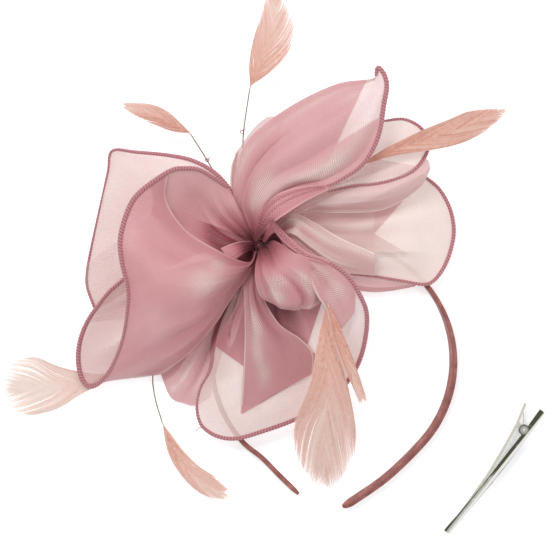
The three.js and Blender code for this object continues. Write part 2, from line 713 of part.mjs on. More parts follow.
// clip pieces are drawn with x from the pivot to the tip, then turned into place
function placed(geometry) {
  geometry.rotateZ(turn(CLIP_TURN));
  geometry.translate(CLIP_PIVOT[0], CLIP_PIVOT[1], 0);
  return geometry;
}

function plate(outline, low, high) {
  const shape = new THREE.Shape(outline.map(([x, y]) => new THREE.Vector2(x, y)));
  const geometry = new THREE.ExtrudeGeometry(shape, { depth: high - low, bevelEnabled: false });
  geometry.translate(0, 0, low);
  return solidOf(outward(weld(geometry)));
}

function post(radius, low, high, sides = 16) {
  const geometry = new THREE.CylinderGeometry(radius, radius, high - low, sides);
  geometry.rotateX(Math.PI / 2);
  geometry.translate(0, 0, (low + high) / 2);
  return outward(weld(geometry));
}

// a folded strip: a web on edge with a flange turned in along its top and bottom
function leaf(outerEdge, flangeDepth, low, high) {
  const inner = Math.sign(flangeDepth);
  const [web, flange] = [inner * SHEET_METAL, flangeDepth].map((depth) => [
    ...outerEdge,
    ...outerEdge.map(([x, y]) => [x, y + depth]).reverse(),
  ]);
  return plate(web, low, high)
    .add(plate(flange, low, low + SHEET_METAL))
    .add(plate(flange, high - SHEET_METAL, high));
}

function withEars(strip, ear, toPivot, low, high) {
  const bridge = [[-ear, toPivot], [ear, toPivot], [ear, 0], [-ear, 0]];
  let solid = strip;
  for (const at of [low, high - SHEET_METAL]) {
    solid = solid.add(solidOf(post(ear, at, at + SHEET_METAL)));
    solid = solid.add(plate(bridge, at, at + SHEET_METAL));
  }
  const bore = solidOf(post(HOLE_RADIUS, -1, CLIP_HEIGHT + 1));
  return solid.subtract(bore);
}

function addClip() {
  const channel = leaf(BODY_EDGE, -BODY_FLANGE, 0, CLIP_HEIGHT);
  const body = withEars(channel, BODY_EAR, BODY_EAR_ROOT, 0, CLIP_HEIGHT);
  addMesh("clip_body_leaf", placed(geometryOf(body)), nickel);
  const inset = SHEET_METAL + GAP;
  const [low, high] = [inset, CLIP_HEIGHT - inset];
  const strip = leaf(LEVER_EDGE, LEVER_FLANGE, low, high);
  const lever = withEars(strip, LEVER_EAR, LEVER_EAR_ROOT, low, high);
  addMesh("clip_lever_leaf", placed(geometryOf(lever)), nickel);
  const pin = post(PIN_RADIUS, PIN_START, CLIP_HEIGHT + PIN_HEAD);
  addMesh("clip_pivot_pin", placed(pin), nickel);
  addMesh("clip_spring", placed(clipSpring()), nickel);
}

// a coil round the pin, with a leg along each leaf's tail that holds them apart
function clipSpring() {
  const perTurn = 10;
  const steps = SPRING_TURNS * perTurn;
  const start = (CLIP_HEIGHT - SPRING_TURNS * SPRING_PITCH) / 2;
  const end = start + SPRING_TURNS * SPRING_PITCH;
  const coil = Array.from({ length: steps + 1 }, (_, i) => {
    const angle = Math.PI / 2 - (i / perTurn) * Math.PI * 2;
    return [
      SPRING_RADIUS * Math.cos(angle),
      SPRING_RADIUS * Math.sin(angle),
      start + (i / perTurn) * SPRING_PITCH,
    ];
  });
  const bodyLeg = BODY_LEG.map(([x, y]) => [x, y, start]);
  const leverLeg = LEVER_LEG.map(([x, y]) => [x, y, end]);
  return tube([...bodyLeg, ...coil, ...leverLeg], SPRING_WIRE, 2 * steps, 5);
}

// ---- build, then stand the origin under the middle of the whole ----

addHeadband();
addFoundation();
addCentre();
addFeathers();
addHems();
addPetals();
addClip();

const extent = new THREE.Box3().setFromObject(group);
const middle = extent.getCenter(new THREE.Vector3());
group.position.set(-middle.x, -middle.y, -extent.min.z);
group.updateMatrixWorld(true);

export default group;
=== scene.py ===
"""A fascinator headpiece lying on a pale floor: a flower of sheer organza petals with corded
hems and feathers, on a satin headband, with a loose hair clip beside it.

Routes are in millimetres from the flower's gathered centre, with heights above the floor."""

import math

import bmesh
import bpy
import numpy as np
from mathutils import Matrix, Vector


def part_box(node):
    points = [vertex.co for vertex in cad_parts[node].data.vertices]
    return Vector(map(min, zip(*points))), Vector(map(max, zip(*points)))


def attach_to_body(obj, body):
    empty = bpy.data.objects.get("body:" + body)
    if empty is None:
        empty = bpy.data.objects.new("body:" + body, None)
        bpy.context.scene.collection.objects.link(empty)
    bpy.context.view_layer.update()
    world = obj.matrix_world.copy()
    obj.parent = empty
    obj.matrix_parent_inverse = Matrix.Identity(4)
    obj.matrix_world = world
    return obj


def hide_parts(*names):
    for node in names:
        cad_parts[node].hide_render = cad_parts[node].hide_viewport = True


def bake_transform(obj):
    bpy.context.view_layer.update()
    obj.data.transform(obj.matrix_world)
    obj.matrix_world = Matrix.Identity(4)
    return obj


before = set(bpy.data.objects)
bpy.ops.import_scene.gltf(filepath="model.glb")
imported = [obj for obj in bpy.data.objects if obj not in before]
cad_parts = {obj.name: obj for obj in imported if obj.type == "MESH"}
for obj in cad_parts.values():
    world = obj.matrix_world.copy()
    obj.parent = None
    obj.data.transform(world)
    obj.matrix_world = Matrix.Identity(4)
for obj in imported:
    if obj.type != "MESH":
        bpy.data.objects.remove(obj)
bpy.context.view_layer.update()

MM = 0.001
KNOT_X, KNOT_Y = 1.5, -1.0  # the wrapped knot's middle, from the gathered centre
RISE_FROM, RISE = 12.0, 1.5  # the flower's heights above the first are stretched by the second
CORE_SHARE, CORE_DROP = 0.28, 1.5  # how near the knot the petals' necks are drawn


def box_middle(node):
    low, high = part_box(node)
    return (low + high) / 2


knot_low, knot_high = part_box("gather_knot")
knot_middle = box_middle("gather_knot")
ORIGIN = np.array([knot_middle.x - KNOT_X * MM, knot_middle.y - KNOT_Y * MM, 0.0])


# ---- camera ----

VIEW_CENTRE = (9.4, -15.1)
VIEW_WIDTH = 264.5
VIEW_DISTANCE = 3.0
VIEW_LEVEL = 22.0  # height at which the view is that wide


def add_camera():
    data = bpy.data.cameras.new("camera")
    data.sensor_width = 36.0
    data.lens = data.sensor_width * (VIEW_DISTANCE - VIEW_LEVEL * MM) / (VIEW_WIDTH * MM)
    camera = bpy.data.objects.new("camera", data)
    camera.location = (
        ORIGIN[0] + VIEW_CENTRE[0] * MM,
        ORIGIN[1] + VIEW_CENTRE[1] * MM,
        VIEW_DISTANCE,
    )
    bpy.context.scene.collection.objects.link(camera)
    bpy.context.scene.camera = camera


add_camera()


# ---- curves and sheets of points ----


def placed(points):
    """Points in millimetres from the gathered centre, put in the frame in metres."""
    p = np.array(points, float)
    p[..., 2] += (RISE - 1) * np.maximum(0, p[..., 2] - RISE_FROM)
    return ORIGIN + p * MM


def spline(points, shares):
    """A smooth curve through points, at shares of the way along their spans."""
    p = np.asarray(points, float)
    p = np.vstack([2 * p[0] - p[1], p, 2 * p[-1] - p[-2]])
    spans = len(p) - 3
    at = np.clip(np.asarray(shares, float) * spans, 0, spans - 1e-9)
    i = at.astype(int)
    t = (at - i)[:, None]
    a, b, c, d = p[i], p[i + 1], p[i + 2], p[i + 3]
    bend = (2 * a - 5 * b + 4 * c - d) * t**2 + (3 * b - a - 3 * c + d) * t**3
    return 0.5 * (2 * b + (c - a) * t + bend)


def unit(vectors):
    return vectors / np.maximum(np.linalg.norm(vectors, axis=-1, keepdims=True), 1e-12)


def run_of(points):
    """How far along the line of points each one is."""
    steps = np.linalg.norm(np.diff(points, axis=0), axis=1)
    return np.concatenate([[0.0], np.cumsum(steps)])


def evenly(points, count):
    """The smooth curve through points, as count points spaced evenly along it."""
    dense = spline(points, np.linspace(0, 1, 24 * len(points)))
    run = run_of(dense)
    at = np.linspace(0, run[-1], count)
    return np.stack([np.interp(at, run, dense[:, k]) for k in range(3)], axis=1)


def spaced(points, step):
    """The same, with points about step metres apart."""
    length = run_of(spline(points, np.linspace(0, 1, 24 * len(points))))[-1]
    return evenly(points, max(4, int(length / step)))


def sheet_grid(ribs, columns, rows):
    """Rows of points on the sheet through a list of ribs, each a list of points across it."""
    across = np.stack([evenly(placed(rib), columns) for rib in ribs])
    flat = spline(across.reshape(len(ribs), -1), np.linspace(0, 1, rows))
    return flat.reshape(rows, columns, 3)


def grid_normals(grid):
    """Unit normals, on the side of the sheet that faces mostly up."""
    normal = unit(np.cross(np.gradient(grid, axis=1), np.gradient(grid, axis=0)))
    return normal if normal[..., 2].mean() > 0 else -normal


def smoothstep(low, high, values):
    t = np.clip((values - low) / (high - low), 0, 1)
    return t * t * (3 - 2 * t)


SNAP_REACH = 0.3  # share of a sheet over which its edge is drawn towards its hem


def snapped(grid, edge, route):
    """Draws one edge of a grid onto a hem's route, and what is near it part of the way."""
    target = spaced(placed(route), 0.4 * MM)
    rows, columns = grid.shape[:2]
    line = grid[-1] if edge == "rim" else grid[:, -1]
    nearest = target[np.argmin(np.linalg.norm(line[:, None] - target[None], axis=2), axis=1)]
    steps = rows if edge == "rim" else columns
    fade = np.clip(1 - (1 - np.linspace(0, 1, steps)) / SNAP_REACH, 0, 1) ** 2
    if edge == "rim":
        return grid + fade[:, None, None] * (nearest - line)[None]
    return grid + fade[None, :, None] * (nearest - line)[:, None]


def cored(ribs):
    """The ribs with one more before them, drawn in close to the knot."""
    inner = [
        (KNOT_X + CORE_SHARE * (x - KNOT_X), KNOT_Y + CORE_SHARE * (y - KNOT_Y), z - CORE_DROP)
        for x, y, z in ribs[0]
    ]
    return [inner, *ribs]


NECK_WAVES = ((1.0, 1.0, 0.20), (0.45, 0.9, 0.42))  # how close, how deep, how far they reach
SOFT_WAVES = (1.2, 2.3, 3.9)  # across a sheet, the wider ones higher
SOFT_DEPTH = 0.35  # of the gathers' depth


def neck_gathers(u, v, widths, gathers, depth, phase):
    """Tight gathers that fade outwards from the neck."""
    drift = u + 0.035 * np.sin(9 * u + phase[0]) + 0.03 * np.sin(4 * v + phase[1])
    heights = 0
    for part, share, fade in NECK_WAVES:
        wave = np.abs(np.sin(math.pi * gathers * part * drift + phase[2] * part))
        room = np.minimum(depth * MM, 0.45 * widths / (gathers * part))
        heights = heights + share * room * np.exp(-v / fade) * (0.55 - wave)
    return heights


def listed_folds(u, v, widths, folds):
    heights = 0
    for at_neck, at_rim, rise, share, first, last in folds:
        away = np.abs(u - at_neck - (at_rim - at_neck) * v) / share
        swell = np.sin(math.pi * np.clip((v - first) / (last - first), 0, 1)) ** 0.8
        room = np.minimum(abs(rise) * MM, 1.1 * share * widths) * math.copysign(1, rise)
        heights = heights + room * swell * np.exp(-(away**1.4))
    return heights


def soft_waves(u, v, depth, phase):
    heights = 0
    for k, waves in enumerate(SOFT_WAVES):
        turn = 2 * math.pi * waves * u + phase[3 + k] + 2.2 * v * math.sin(phase[6] + k)
        heights = heights + np.sin(turn) / waves
    return heights * SOFT_DEPTH * depth * MM * np.sin(math.pi * v)


def fold_heights(grid, gathers, depth, folds, seed):
    """Heights of all the sheet's folds above it, in metres."""
    phase = np.random.default_rng(seed).uniform(0, 2 * math.pi, 8)
    rows, columns = grid.shape[:2]
    u = np.linspace(0, 1, columns)[None, :]
    v = np.linspace(0, 1, rows)[:, None]
    widths = np.linalg.norm(np.diff(grid, axis=1), axis=2).sum(axis=1)[:, None]
    near = neck_gathers(u, v, widths, gathers, depth, phase) + listed_folds(u, v, widths, folds)
    return near * (1 - v**5) + soft_waves(u, v, depth, phase)


LIP_STEPS = 5


def edge_tucked(grid, share, radius, side):
    """Rolls one side of a sheet under itself, so that it is double along a round lip."""
    if side == "last":
        return edge_tucked(grid[:, ::-1], share, radius, "first")[:, ::-1]
    normals = grid_normals(grid)
    count = max(2, int(share * grid.shape[1]))
    under = grid[:, 1:count + 1] - 2 * radius * normals[:, 1:count + 1]
    inward = unit(grid[:, 1] - grid[:, 0])
    axis = grid[:, 0] - radius * normals[:, 0]
    roll = [
        axis + radius * (math.cos(angle) * normals[:, 0] - math.sin(angle) * inward)
        for angle in np.linspace(math.pi, 0, LIP_STEPS + 2)[1:-1]
    ]
    return np.concatenate([under[:, ::-1], np.stack(roll, axis=1), grid], axis=1)


# ---- meshes ----


def make_object(name, vertices, faces, material, smooth=True):
    mesh = bpy.data.meshes.new(name)
    mesh.from_pydata([tuple(p) for p in vertices], [], faces)
    mesh.update()
    mesh.polygons.foreach_set("use_smooth", [smooth] * len(mesh.polygons))
    mesh.materials.append(material)
    obj = bpy.data.objects.new(name, mesh)
    bpy.context.scene.collection.objects.link(obj)
    return obj


def grid_faces(rows, columns):
    corners = (r * columns + c for r in range(rows - 1) for c in range(columns - 1))
    return [(a, a + 1, a + columns + 1, a + columns) for a in corners]


def set_values(obj, name, values):
    attribute = obj.data.attributes.new(name, "FLOAT", "POINT")
    attribute.data.foreach_set("value", np.asarray(values, np.float32).ravel())


def set_map(obj, coordinates):
    """Gives each corner its vertex's coordinates along and across the piece, in metres."""
    layer = obj.data.uv_layers.new(name="cloth")
    corners = np.empty(len(obj.data.loops), int)
    obj.data.loops.foreach_get("vertex_index", corners)
    layer.data.foreach_set("uv", coordinates[corners].astype(np.float32).ravel())


def frames_along(path):
    """Two directions square to a path at each of its points, carried along without twist."""
    tangent = unit(np.gradient(path, axis=0))
    side = np.cross(tangent[0], (0, 0, 1.0))
    if np.linalg.norm(side) < 1e-3:
        side = np.array([1.0, 0, 0])
    sides = []
    for t in tangent:
        side = unit(side - t * np.dot(side, t))
        sides.append(side)
    sides = np.array(sides)
    return sides, np.cross(tangent, sides)


def tube_faces(rings, sides):
    """The faces round a tube, ring by ring, then those that close its two ends."""
    faces = []
    for r in range(rings - 1):
        for c in range(sides):
            a, b = r * sides + c, r * sides + (c + 1) % sides
            faces.append((a, b, b + sides, a + sides))
    last = (rings - 1) * sides
    return faces + [tuple(reversed(range(sides))), tuple(range(last, last + sides))]


def swept(path, radii, sides):
    """Vertices and faces of a closed tube. radii is one per point, or one per corner."""
    first, second = frames_along(path)
    angles = np.linspace(0, 2 * math.pi, sides, endpoint=False)[None, :, None]
    radii = radii[:, None] if radii.ndim == 1 else radii
    ring = np.cos(angles) * first[:, None] + np.sin(angles) * second[:, None]
    vertices = (path[:, None] + ring * radii[..., None]).reshape(-1, 3)
    return vertices, tube_faces(len(path), sides)


def tube(name, path, radii, sides, material):
    return make_object(name, *swept(path, radii, sides), material)


def attach(obj, body, slot, *nodes):
    """Joins a piece to the body it moves with, in place of the plain solids it stands for."""
    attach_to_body(obj, body)
    if nodes:
        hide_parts(*nodes)


# ---- materials ----


class Nodes:
    """A material's node tree, with short ways to add and join nodes."""

    def __init__(self, name, **settings):
        self.material = bpy.data.materials.new(name)
        self.material.use_nodes = True
        self.tree = self.material.node_tree
        self.shader = self.tree.nodes["Principled BSDF"]
        for key, value in settings.items():
            self.shader.inputs[key.replace("_", " ")].default_value = value

    def add(self, kind, **settings):
        node = self.tree.nodes.new(kind)
        for key, value in settings.items():
            if key in node.inputs:
                node.inputs[key].default_value = value
            else:
                setattr(node, key, value)
        return node

    def join(self, source, target):
        self.tree.links.new(source, target)

    def math(self, operation, *values, clamp=False):
        node = self.add("ShaderNodeMath", operation=operation, use_clamp=clamp)
        for socket, value in zip(node.inputs, values):
            if hasattr(value, "is_linked"):
                self.join(value, socket)
            else:
                socket.default_value = value
        return node.outputs[0]

    def scaled(self, value, by, plus, clamp=False):
        return self.math("MULTIPLY_ADD", value, by, plus, clamp=clamp)

    def fade(self, value, start, end):
        """0 as far as start mm, and 1 from end mm."""
        return self.scaled(value, 1 / ((end - start) * MM), -start / (end - start), clamp=True)

    def split(self, vector):
        node = self.add("ShaderNodeSeparateXYZ")
        self.join(vector, node.inputs[0])
        return node.outputs

    def noise(self, scale, detail):
        node = self.add("ShaderNodeTexNoise", Scale=scale, Detail=detail)
        self.join(self.place(), node.inputs["Vector"])
        return node.outputs["Fac"]

    def place(self):
        return self.add("ShaderNodeTexCoord").outputs["Object"]

    def cloth(self):
        return self.add("ShaderNodeUVMap", uv_map="cloth").outputs["UV"]

    def value(self, attribute):
        return self.add("ShaderNodeAttribute", attribute_name=attribute).outputs["Fac"]

    def ramp(self, source, *stops):
        node = self.add("ShaderNodeValToRGB")
        elements = node.color_ramp.elements
        while len(elements) < len(stops):
            elements.new(0.5)
        for element, (at, color) in zip(elements, stops):
            element.position = at
            element.color = (*color, 1.0)
        self.join(source, node.inputs["Fac"])
        return node.outputs["Color"]

    def bump(self, height, strength, distance):
        node = self.add("ShaderNodeBump", Strength=strength, Distance=distance)
        self.join(height, node.inputs["Height"])
        self.join(node.outputs["Normal"], self.shader.inputs["Normal"])

    def into(self, name, source):
        self.join(source, self.shader.inputs[name])

    def color(self, source, *stops):
        self.into("Base Color", self.ramp(source, *stops))

    def stripes(self, vector, pitch, axis):
        """Even ridges across one direction of the vector's space."""
        angle = self.math("MULTIPLY", self.split(vector)[axis], 2 * math.pi / pitch)
        return self.math("SINE", angle)


THREAD_PITCH, SATIN_RIB, SINAMAY_PITCH = 0.00105, 0.0005, 0.0011  # m between threads

CLIP_TURN = 233.0  # degrees from +X to the clip's tip
CLIP_TAPER = 0.030  # how much the clip's outer edge closes in for each mm towards its tip
RIM_FROM, RIM_TO = 2.0, 3.85  # mm out from the pivot's line: where the painted bright reflection along the rim begins, ends
TIP_FROM = 19.5  # mm from the pivot at which a painted reflection starts to brighten the metal towards the tip
DARK_EDGE = 1.04  # mm out from the pivot's line that keep the painted dim reflection there
EAR_REACH = 4.2  # mm round the pivot given a painted bright reflection


def organza_material():
    """Sheer crossed threads with a silky gloss.

    The cover attribute is the share that the threads cover; tone is how deep the folded layers make
    the colour, partly painted shade in fold valleys and at the gathered centre; and painted_light
    paints a highlight where taut threads catch the light one by one, and paints a shaded patch
    where it is below zero."""
    n = Nodes("organza", Specular_IOR_Level=0.6, IOR=1.6, Specular_Tint=(1.0, 0.78, 0.80, 1.0),
              Sheen_Weight=0.10, Sheen_Roughness=0.4, Sheen_Tint=(1.0, 0.75, 0.78, 1.0))
    cloth = n.cloth()
    weave = n.math("MULTIPLY", n.stripes(cloth, THREAD_PITCH, 0),
                   n.stripes(cloth, THREAD_PITCH * 1.1, 1))
    slub = n.noise(1100.0, 2.0)
    cloud = n.noise(45.0, 3.0)
    painted_light = n.value("painted_light")
    mottle = n.math("ADD", n.scaled(slub, 0.16, -0.08), n.scaled(cloud, 0.16, -0.08))
    # painted glints: the weave is lit up where painted_light is high, and darkened where it is
    # below zero
    painted_glints = n.math("MULTIPLY", painted_light, n.scaled(weave, -0.46, -0.20))
    # the weave, random mottle and the painted glints together
    threads = n.scaled(weave, -0.035, n.math("ADD", mottle, painted_glints))
    # The ramp's near-black end is painted shade, for the gathered centre and the deepest folds.
    n.color(
        n.math("ADD", n.value("tone"), threads, clamp=True),
        (0.0, (0.97, 0.82, 0.77)),
        (0.18, (0.76, 0.54, 0.51)),
        (0.36, (0.74, 0.385, 0.40)),
        (0.62, (0.60, 0.235, 0.265)),
        (0.82, (0.36, 0.10, 0.12)),
        (1.0, (0.07, 0.006, 0.010)),
    )
    ragged = n.scaled(slub, 0.20, -0.10)
    n.into("Alpha", n.math("ADD", n.value("cover"), n.scaled(weave, 0.05, ragged), clamp=True))
    n.into("Roughness", n.scaled(painted_light, -0.12, n.scaled(slub, 0.25, 0.28)))
    n.bump(n.scaled(slub, 0.5, weave), 0.5, 0.00012)
    return n.material


def hem_material():
    """Wound thread. The stitch attribute is 0 in the grooves and 1 on the thread's crown, which
    paints shade into the grooves and a highlight on the crowns.
    """
    n = Nodes("hem_thread", Roughness=0.5, Sheen_Weight=0.35, Sheen_Roughness=0.5)
    fleck = n.noise(1600.0, 3.0)
    n.color(
        n.math("ADD", n.math("MULTIPLY", n.value("stitch"), 0.75), n.scaled(fleck, 0.4, -0.1)),
        (0.05, (0.12, 0.020, 0.030)),
        (0.40, (0.34, 0.10, 0.12)),
        (0.85, (0.58, 0.25, 0.275)),
    )
    n.bump(fleck, 0.4, 0.0001)
    return n.material


def fibre_material(name, fleck, dark, light, relief=None, **settings):
    """Fine flecks between two colours, each given with its place on the fleck's noise. relief is
    the noise, strength and depth of the bumps, with the flecks' own noise where it is None."""
    n = Nodes(name, **settings)
    flecks = n.noise(*fleck)
    n.color(flecks, dark, light)
    if relief:
        grain, strength, depth = relief
        n.bump(n.noise(*grain) if grain else flecks, strength, depth)
    return n.material


def satin_material():
    n = Nodes("satin_ribbon", Roughness=0.42, Specular_IOR_Level=0.35, Sheen_Weight=0.1,
              Sheen_Roughness=0.3)
    rib = n.stripes(n.cloth(), SATIN_RIB, 0)
    streak = n.noise(260.0, 3.0)
    n.color(
        n.scaled(rib, 0.06, streak),
        (0.28, (0.22, 0.069, 0.055)),
        (0.52, (0.33, 0.118, 0.094)),
        (0.78, (0.45, 0.190, 0.155)),
    )
    n.bump(rib, 0.25, 0.00006)
    return n.material


def feather_material():
    """Barbs run from a warm base to pale ends. The streak attribute differs from barb to barb,
    and grows towards each barb's end, as the barbs do thinner."""
    n = Nodes("feather", Roughness=0.7, Sheen_Weight=0.4, Sheen_Roughness=0.5)
    streak = n.value("streak")
    n.color(
        n.scaled(n.noise(500.0, 3.0), 0.3, streak),
        (0.12, (0.64, 0.27, 0.20)),
        (0.42, (0.84, 0.48, 0.385)),
        (0.75, (0.93, 0.67, 0.585)),
        (1.0, (0.96, 0.80, 0.73)),
    )
    n.into("Alpha", n.scaled(n.value("tip"), -0.30, 0.88, clamp=True))
    return n.material


def nickel_material(name, painted_dim_reflection, painted_bright_reflection):
    """Plated sheet metal with painted reflections: a painted bright reflection round the pivot and
    along its outer edge, a painted dim reflection between, and half bright again towards its tip."""
    n = Nodes(name, Metallic=0.35)
    away = n.add("ShaderNodeVectorMath", operation="SUBTRACT")
    n.join(n.place(), away.inputs[0])
    away.inputs[1].default_value = box_middle("clip_pivot_pin")
    turned = n.add("ShaderNodeVectorRotate", Angle=-math.radians(CLIP_TURN))
    turned.rotation_type = "Z_AXIS"
    n.join(away.outputs[0], turned.inputs["Vector"])
    along, across, _ = n.split(turned.outputs[0])
    outer = n.scaled(along, CLIP_TAPER, across)
    rim = n.math("MULTIPLY", n.fade(outer, RIM_FROM, RIM_FROM + 0.5),
                 n.fade(outer, RIM_TO, RIM_TO - 0.2))
    near = n.add("ShaderNodeVectorMath", operation="LENGTH")
    n.join(away.outputs[0], near.inputs[0])
    ear_highlight = n.fade(near.outputs["Value"], EAR_REACH, EAR_REACH - 2)
    # noise for roughness, which also breaks up the painted reflection towards the tip
    wear_and_reflection_noise = n.noise(220.0, 4.0)
    patchy_reflection = n.scaled(wear_and_reflection_noise, 1.6, -0.8, clamp=True)
    tip = n.math("MULTIPLY", n.fade(along, TIP_FROM, TIP_FROM + 15),
                 n.fade(outer, DARK_EDGE, DARK_EDGE + 0.4))
    # painted reflection: bright along the rim, round the pivot, and in patches towards the tip
    painted_reflection = n.math("MAXIMUM", n.math("MAXIMUM", rim, ear_highlight), n.scaled(tip, 0.55, patchy_reflection))
    n.color(painted_reflection, (0.15, painted_dim_reflection), (0.85, painted_bright_reflection))
    n.into("Roughness", n.scaled(wear_and_reflection_noise, 0.2, 0.15))
    n.bump(n.noise(2500.0, 2.0), 0.05, 0.00002)
    return n.material


def sinamay_material():
    n = Nodes("sinamay", Roughness=0.8)
    place = n.place()
    weave = n.math("MULTIPLY", *(n.stripes(place, SINAMAY_PITCH, axis) for axis in (0, 1)))
    n.color(n.scaled(weave, 0.5, 0.5), (0.2, (0.30, 0.10, 0.12)), (0.8, (0.50, 0.21, 0.24)))
    n.bump(weave, 0.6, 0.0003)
    return n.material


ORGANZA = organza_material()
HEM_THREAD = hem_material()
THREAD = fibre_material(
    "binding", (1600.0, 3.0), (0.3, (0.25, 0.08, 0.09)), (0.7, (0.5, 0.2, 0.22)),
    (None, 0.4, 0.0001), Roughness=0.6,
)
SATIN = satin_material()
FEATHER = feather_material()
QUILL = fibre_material(
    "quill", (700.0, 2.0), (0.35, (0.20, 0.17, 0.115)), (0.65, (0.40, 0.33, 0.24)),
    ((1500.0, 2.0), 0.2, 0.00005), Roughness=0.45,
)
RACHIS = fibre_material(
    "rachis", (500.0, 2.0), (0.35, (0.70, 0.40, 0.33)), (0.65, (0.88, 0.62, 0.54)), Roughness=0.4,
)
# Two copies with painted reflections: a dark one for the body leaf, and a pale one for the lever,
# pin and spring.
NICKEL_DARK_REFLECTION = nickel_material("nickel", (0.07, 0.07, 0.035), (0.95, 0.94, 0.90))
NICKEL_PALE_REFLECTION = nickel_material("nickel_pale_reflection", (0.72, 0.69, 0.60), (0.95, 0.94, 0.90))
FELT = fibre_material(
    "felt", (1800.0, 6.0), (0.3, (0.28, 0.09, 0.11)), (0.7, (0.46, 0.18, 0.21)),
    (None, 0.7, 0.0003), Roughness=0.95, Sheen_Weight=0.4, Sheen_Roughness=0.7,
)
SINAMAY = sinamay_material()


# ---- hems: stitched cords along the petals' free edges ----

# mm, at even steps along each hem: the cord thins where the cloth is pulled tight over it
HEM_RADII = {
    "top": (1.15, 1.35, 1.3, 1.1, 0.8, 0.7, 0.6),
    "bottom": (0.6, 0.7, 1.05, 1.15, 1.1, 1.15, 1.2, 1.2, 1.25, 0.9, 0.7),
    "left_scoop": (0.95, 1.2, 1.4, 1.3, 0.9, 0.9, 1.4, 1.15, 0.95),
    "right_upper": (0.65, 0.85, 1.0, 0.9, 0.75, 0.55),
    "right": (0.55, 0.65, 0.85, 1.1, 1.15, 1.05, 0.85),
    "left_back": (1.0, 1.15, 1.05, 0.95, 0.75, 0.5, 0.6, 0.75, 0.85),
}
STITCH_PITCH = 1.5
STITCH_DEPTH = 0.30
CORD_END = 1.2  # mm over which each end narrows

HEMS = {
    "top": [
        (57.4, 79.5, 32), (58.3, 84, 33), (61.4, 80.2, 34), (62.4, 74.5, 34.3), (61, 66.2, 34.8),
        (59.3, 55.2, 35), (57.1, 48.1, 34.8), (53.3, 40.9, 34.4), (48.9, 36, 34),
        (43.2, 32.2, 33.5), (35, 28, 33), (26.8, 27.2, 32.6), (18.5, 25.4, 32), (10.3, 21, 31),
        (5.2, 15, 29), (2.4, 10, 27), (0.6, 4, 25),
    ],
    "bottom": [
        (-7.7, -26.9, 19), (-17.3, -43.7, 16), (-20.3, -54, 14.2), (-22.4, -61.6, 12.8),
        (-26.4, -68.6, 11.5), (-28.4, -76.5, 11), (-27.8, -83.5, 10.7), (-25, -88.7, 10.5),
        (-18, -92.8, 10.5), (-9, -93.6, 10.5), (3.8, -90, 10.5), (18.7, -84.5, 11.5),
        (32, -77, 13.5), (42.7, -67.7, 16), (49, -57.6, 20), (52.3, -46.1, 24), (53.1, -34.1, 28),
        (50.4, -25.9, 31), (44, -15.8, 33.6), (34.1, -8.8, 35), (21.4, -4.3, 35), (13, 3, 34),
        (8, 8, 33), (6.4, 11.2, 31),
    ],
    "left_scoop": [
        (-13, 26.9, 28), (-25.6, 34.8, 31), (-33.6, 36, 32.5), (-41.5, 34.4, 34),
        (-55.2, 24.5, 36), (-60.8, 16, 36.6), (-64.4, 3, 37), (-63.8, -8, 36), (-61, -21.6, 33),
        (-61.4, -32, 29.5), (-64, -46, 22), (-69.4, -59, 14), (-75, -66.4, 8), (-80.6, -68.6, 4),
        (-84.5, -63.8, 3.2), (-85.9, -55, 3.8), (-84.8, -46, 5), (-81.6, -37.8, 6.6),
        (-77.3, -31.2, 8), (-71, -23.3, 9), (-63, -16.1, 10),
    ],
    "right_upper": [
        (61, 58.8, 25), (70.4, 59.8, 24), (77.8, 56.7, 22.5), (82, 51.5, 21.8), (82.6, 46.5, 21.5),
        (80.5, 41, 22), (75, 35, 23), (66, 30.8, 24.5), (57, 28.8, 26), (46, 27.6, 26.5),
        (34, 24.8, 26),
    ],
    "right": [
        (45.4, -14.4, 13), (58.8, -15.8, 11.8), (70.4, -17.7, 10.5), (80.9, -19.4, 9),
        (86.4, -17, 6.8), (91.5, -9.5, 4), (94.8, 0.5, 2.2), (95.4, 9, 2.2), (93.1, 18.4, 4),
        (88, 27, 7), (80, 33.5, 10.5),
    ],
    "left_back": [
        (-9.6, 21.1, 20), (-13, 27, 19.5), (-20, 34.4, 18), (-30, 40, 15.5), (-41.5, 42.7, 12),
        (-57.6, 44.4, 7), (-69.4, 45.1, 2.4), (-71.6, 35, 1.7), (-75, 20, 1.6), (-79.7, -1.9, 1.5),
        (-81.7, -13.8, 1.8), (-81.3, -21.6, 2.6), (-77.3, -32.2, 4),
    ],
}


CORD_STARTS = {"bottom": 2}  # route points passed before the stitched cord begins


def stitched_cord(name, route, sizes):
    """A cord wrapped by slanting stitches, which show as ridges round it."""
    path = spaced(placed(route), 0.2 * MM)
    run = run_of(path)
    sides = 12
    angles = np.linspace(0, 2 * math.pi, sides, endpoint=False)
    turned = math.pi * run[:, None] / (STITCH_PITCH * MM) + angles[None]
    crown = np.abs(np.sin(turned)) ** 0.6
    ends = np.sqrt(np.clip(np.minimum(run, run[-1] - run) / (CORD_END * MM), 0.1, 1))[:, None]
    radius = np.interp(run / run[-1], np.linspace(0, 1, len(sizes)), sizes)[:, None] * MM
    radii = radius * (1 - STITCH_DEPTH + STITCH_DEPTH * crown) * ends
    cord = tube(name, path, radii, sides, HEM_THREAD)
    # the same crowns colour the cord: painted shade in the grooves, painted highlight on the crowns
    set_values(cord, "stitch", crown)
    return cord


def add_hems():
    made = {}
    for name, route in HEMS.items():
        start = CORD_STARTS.get(name, 0)
        cord = stitched_cord(f"stitched_hem_{name}", route[start:], HEM_RADII[name])
        attach(cord, "flower", "hem_thread", f"hem_{name}")
        made[name] = cord
    return made


# ---- petals ----

SINGLE, DOUBLE = 0.70, 0.84  # share covered by the threads of one layer, and of close layers
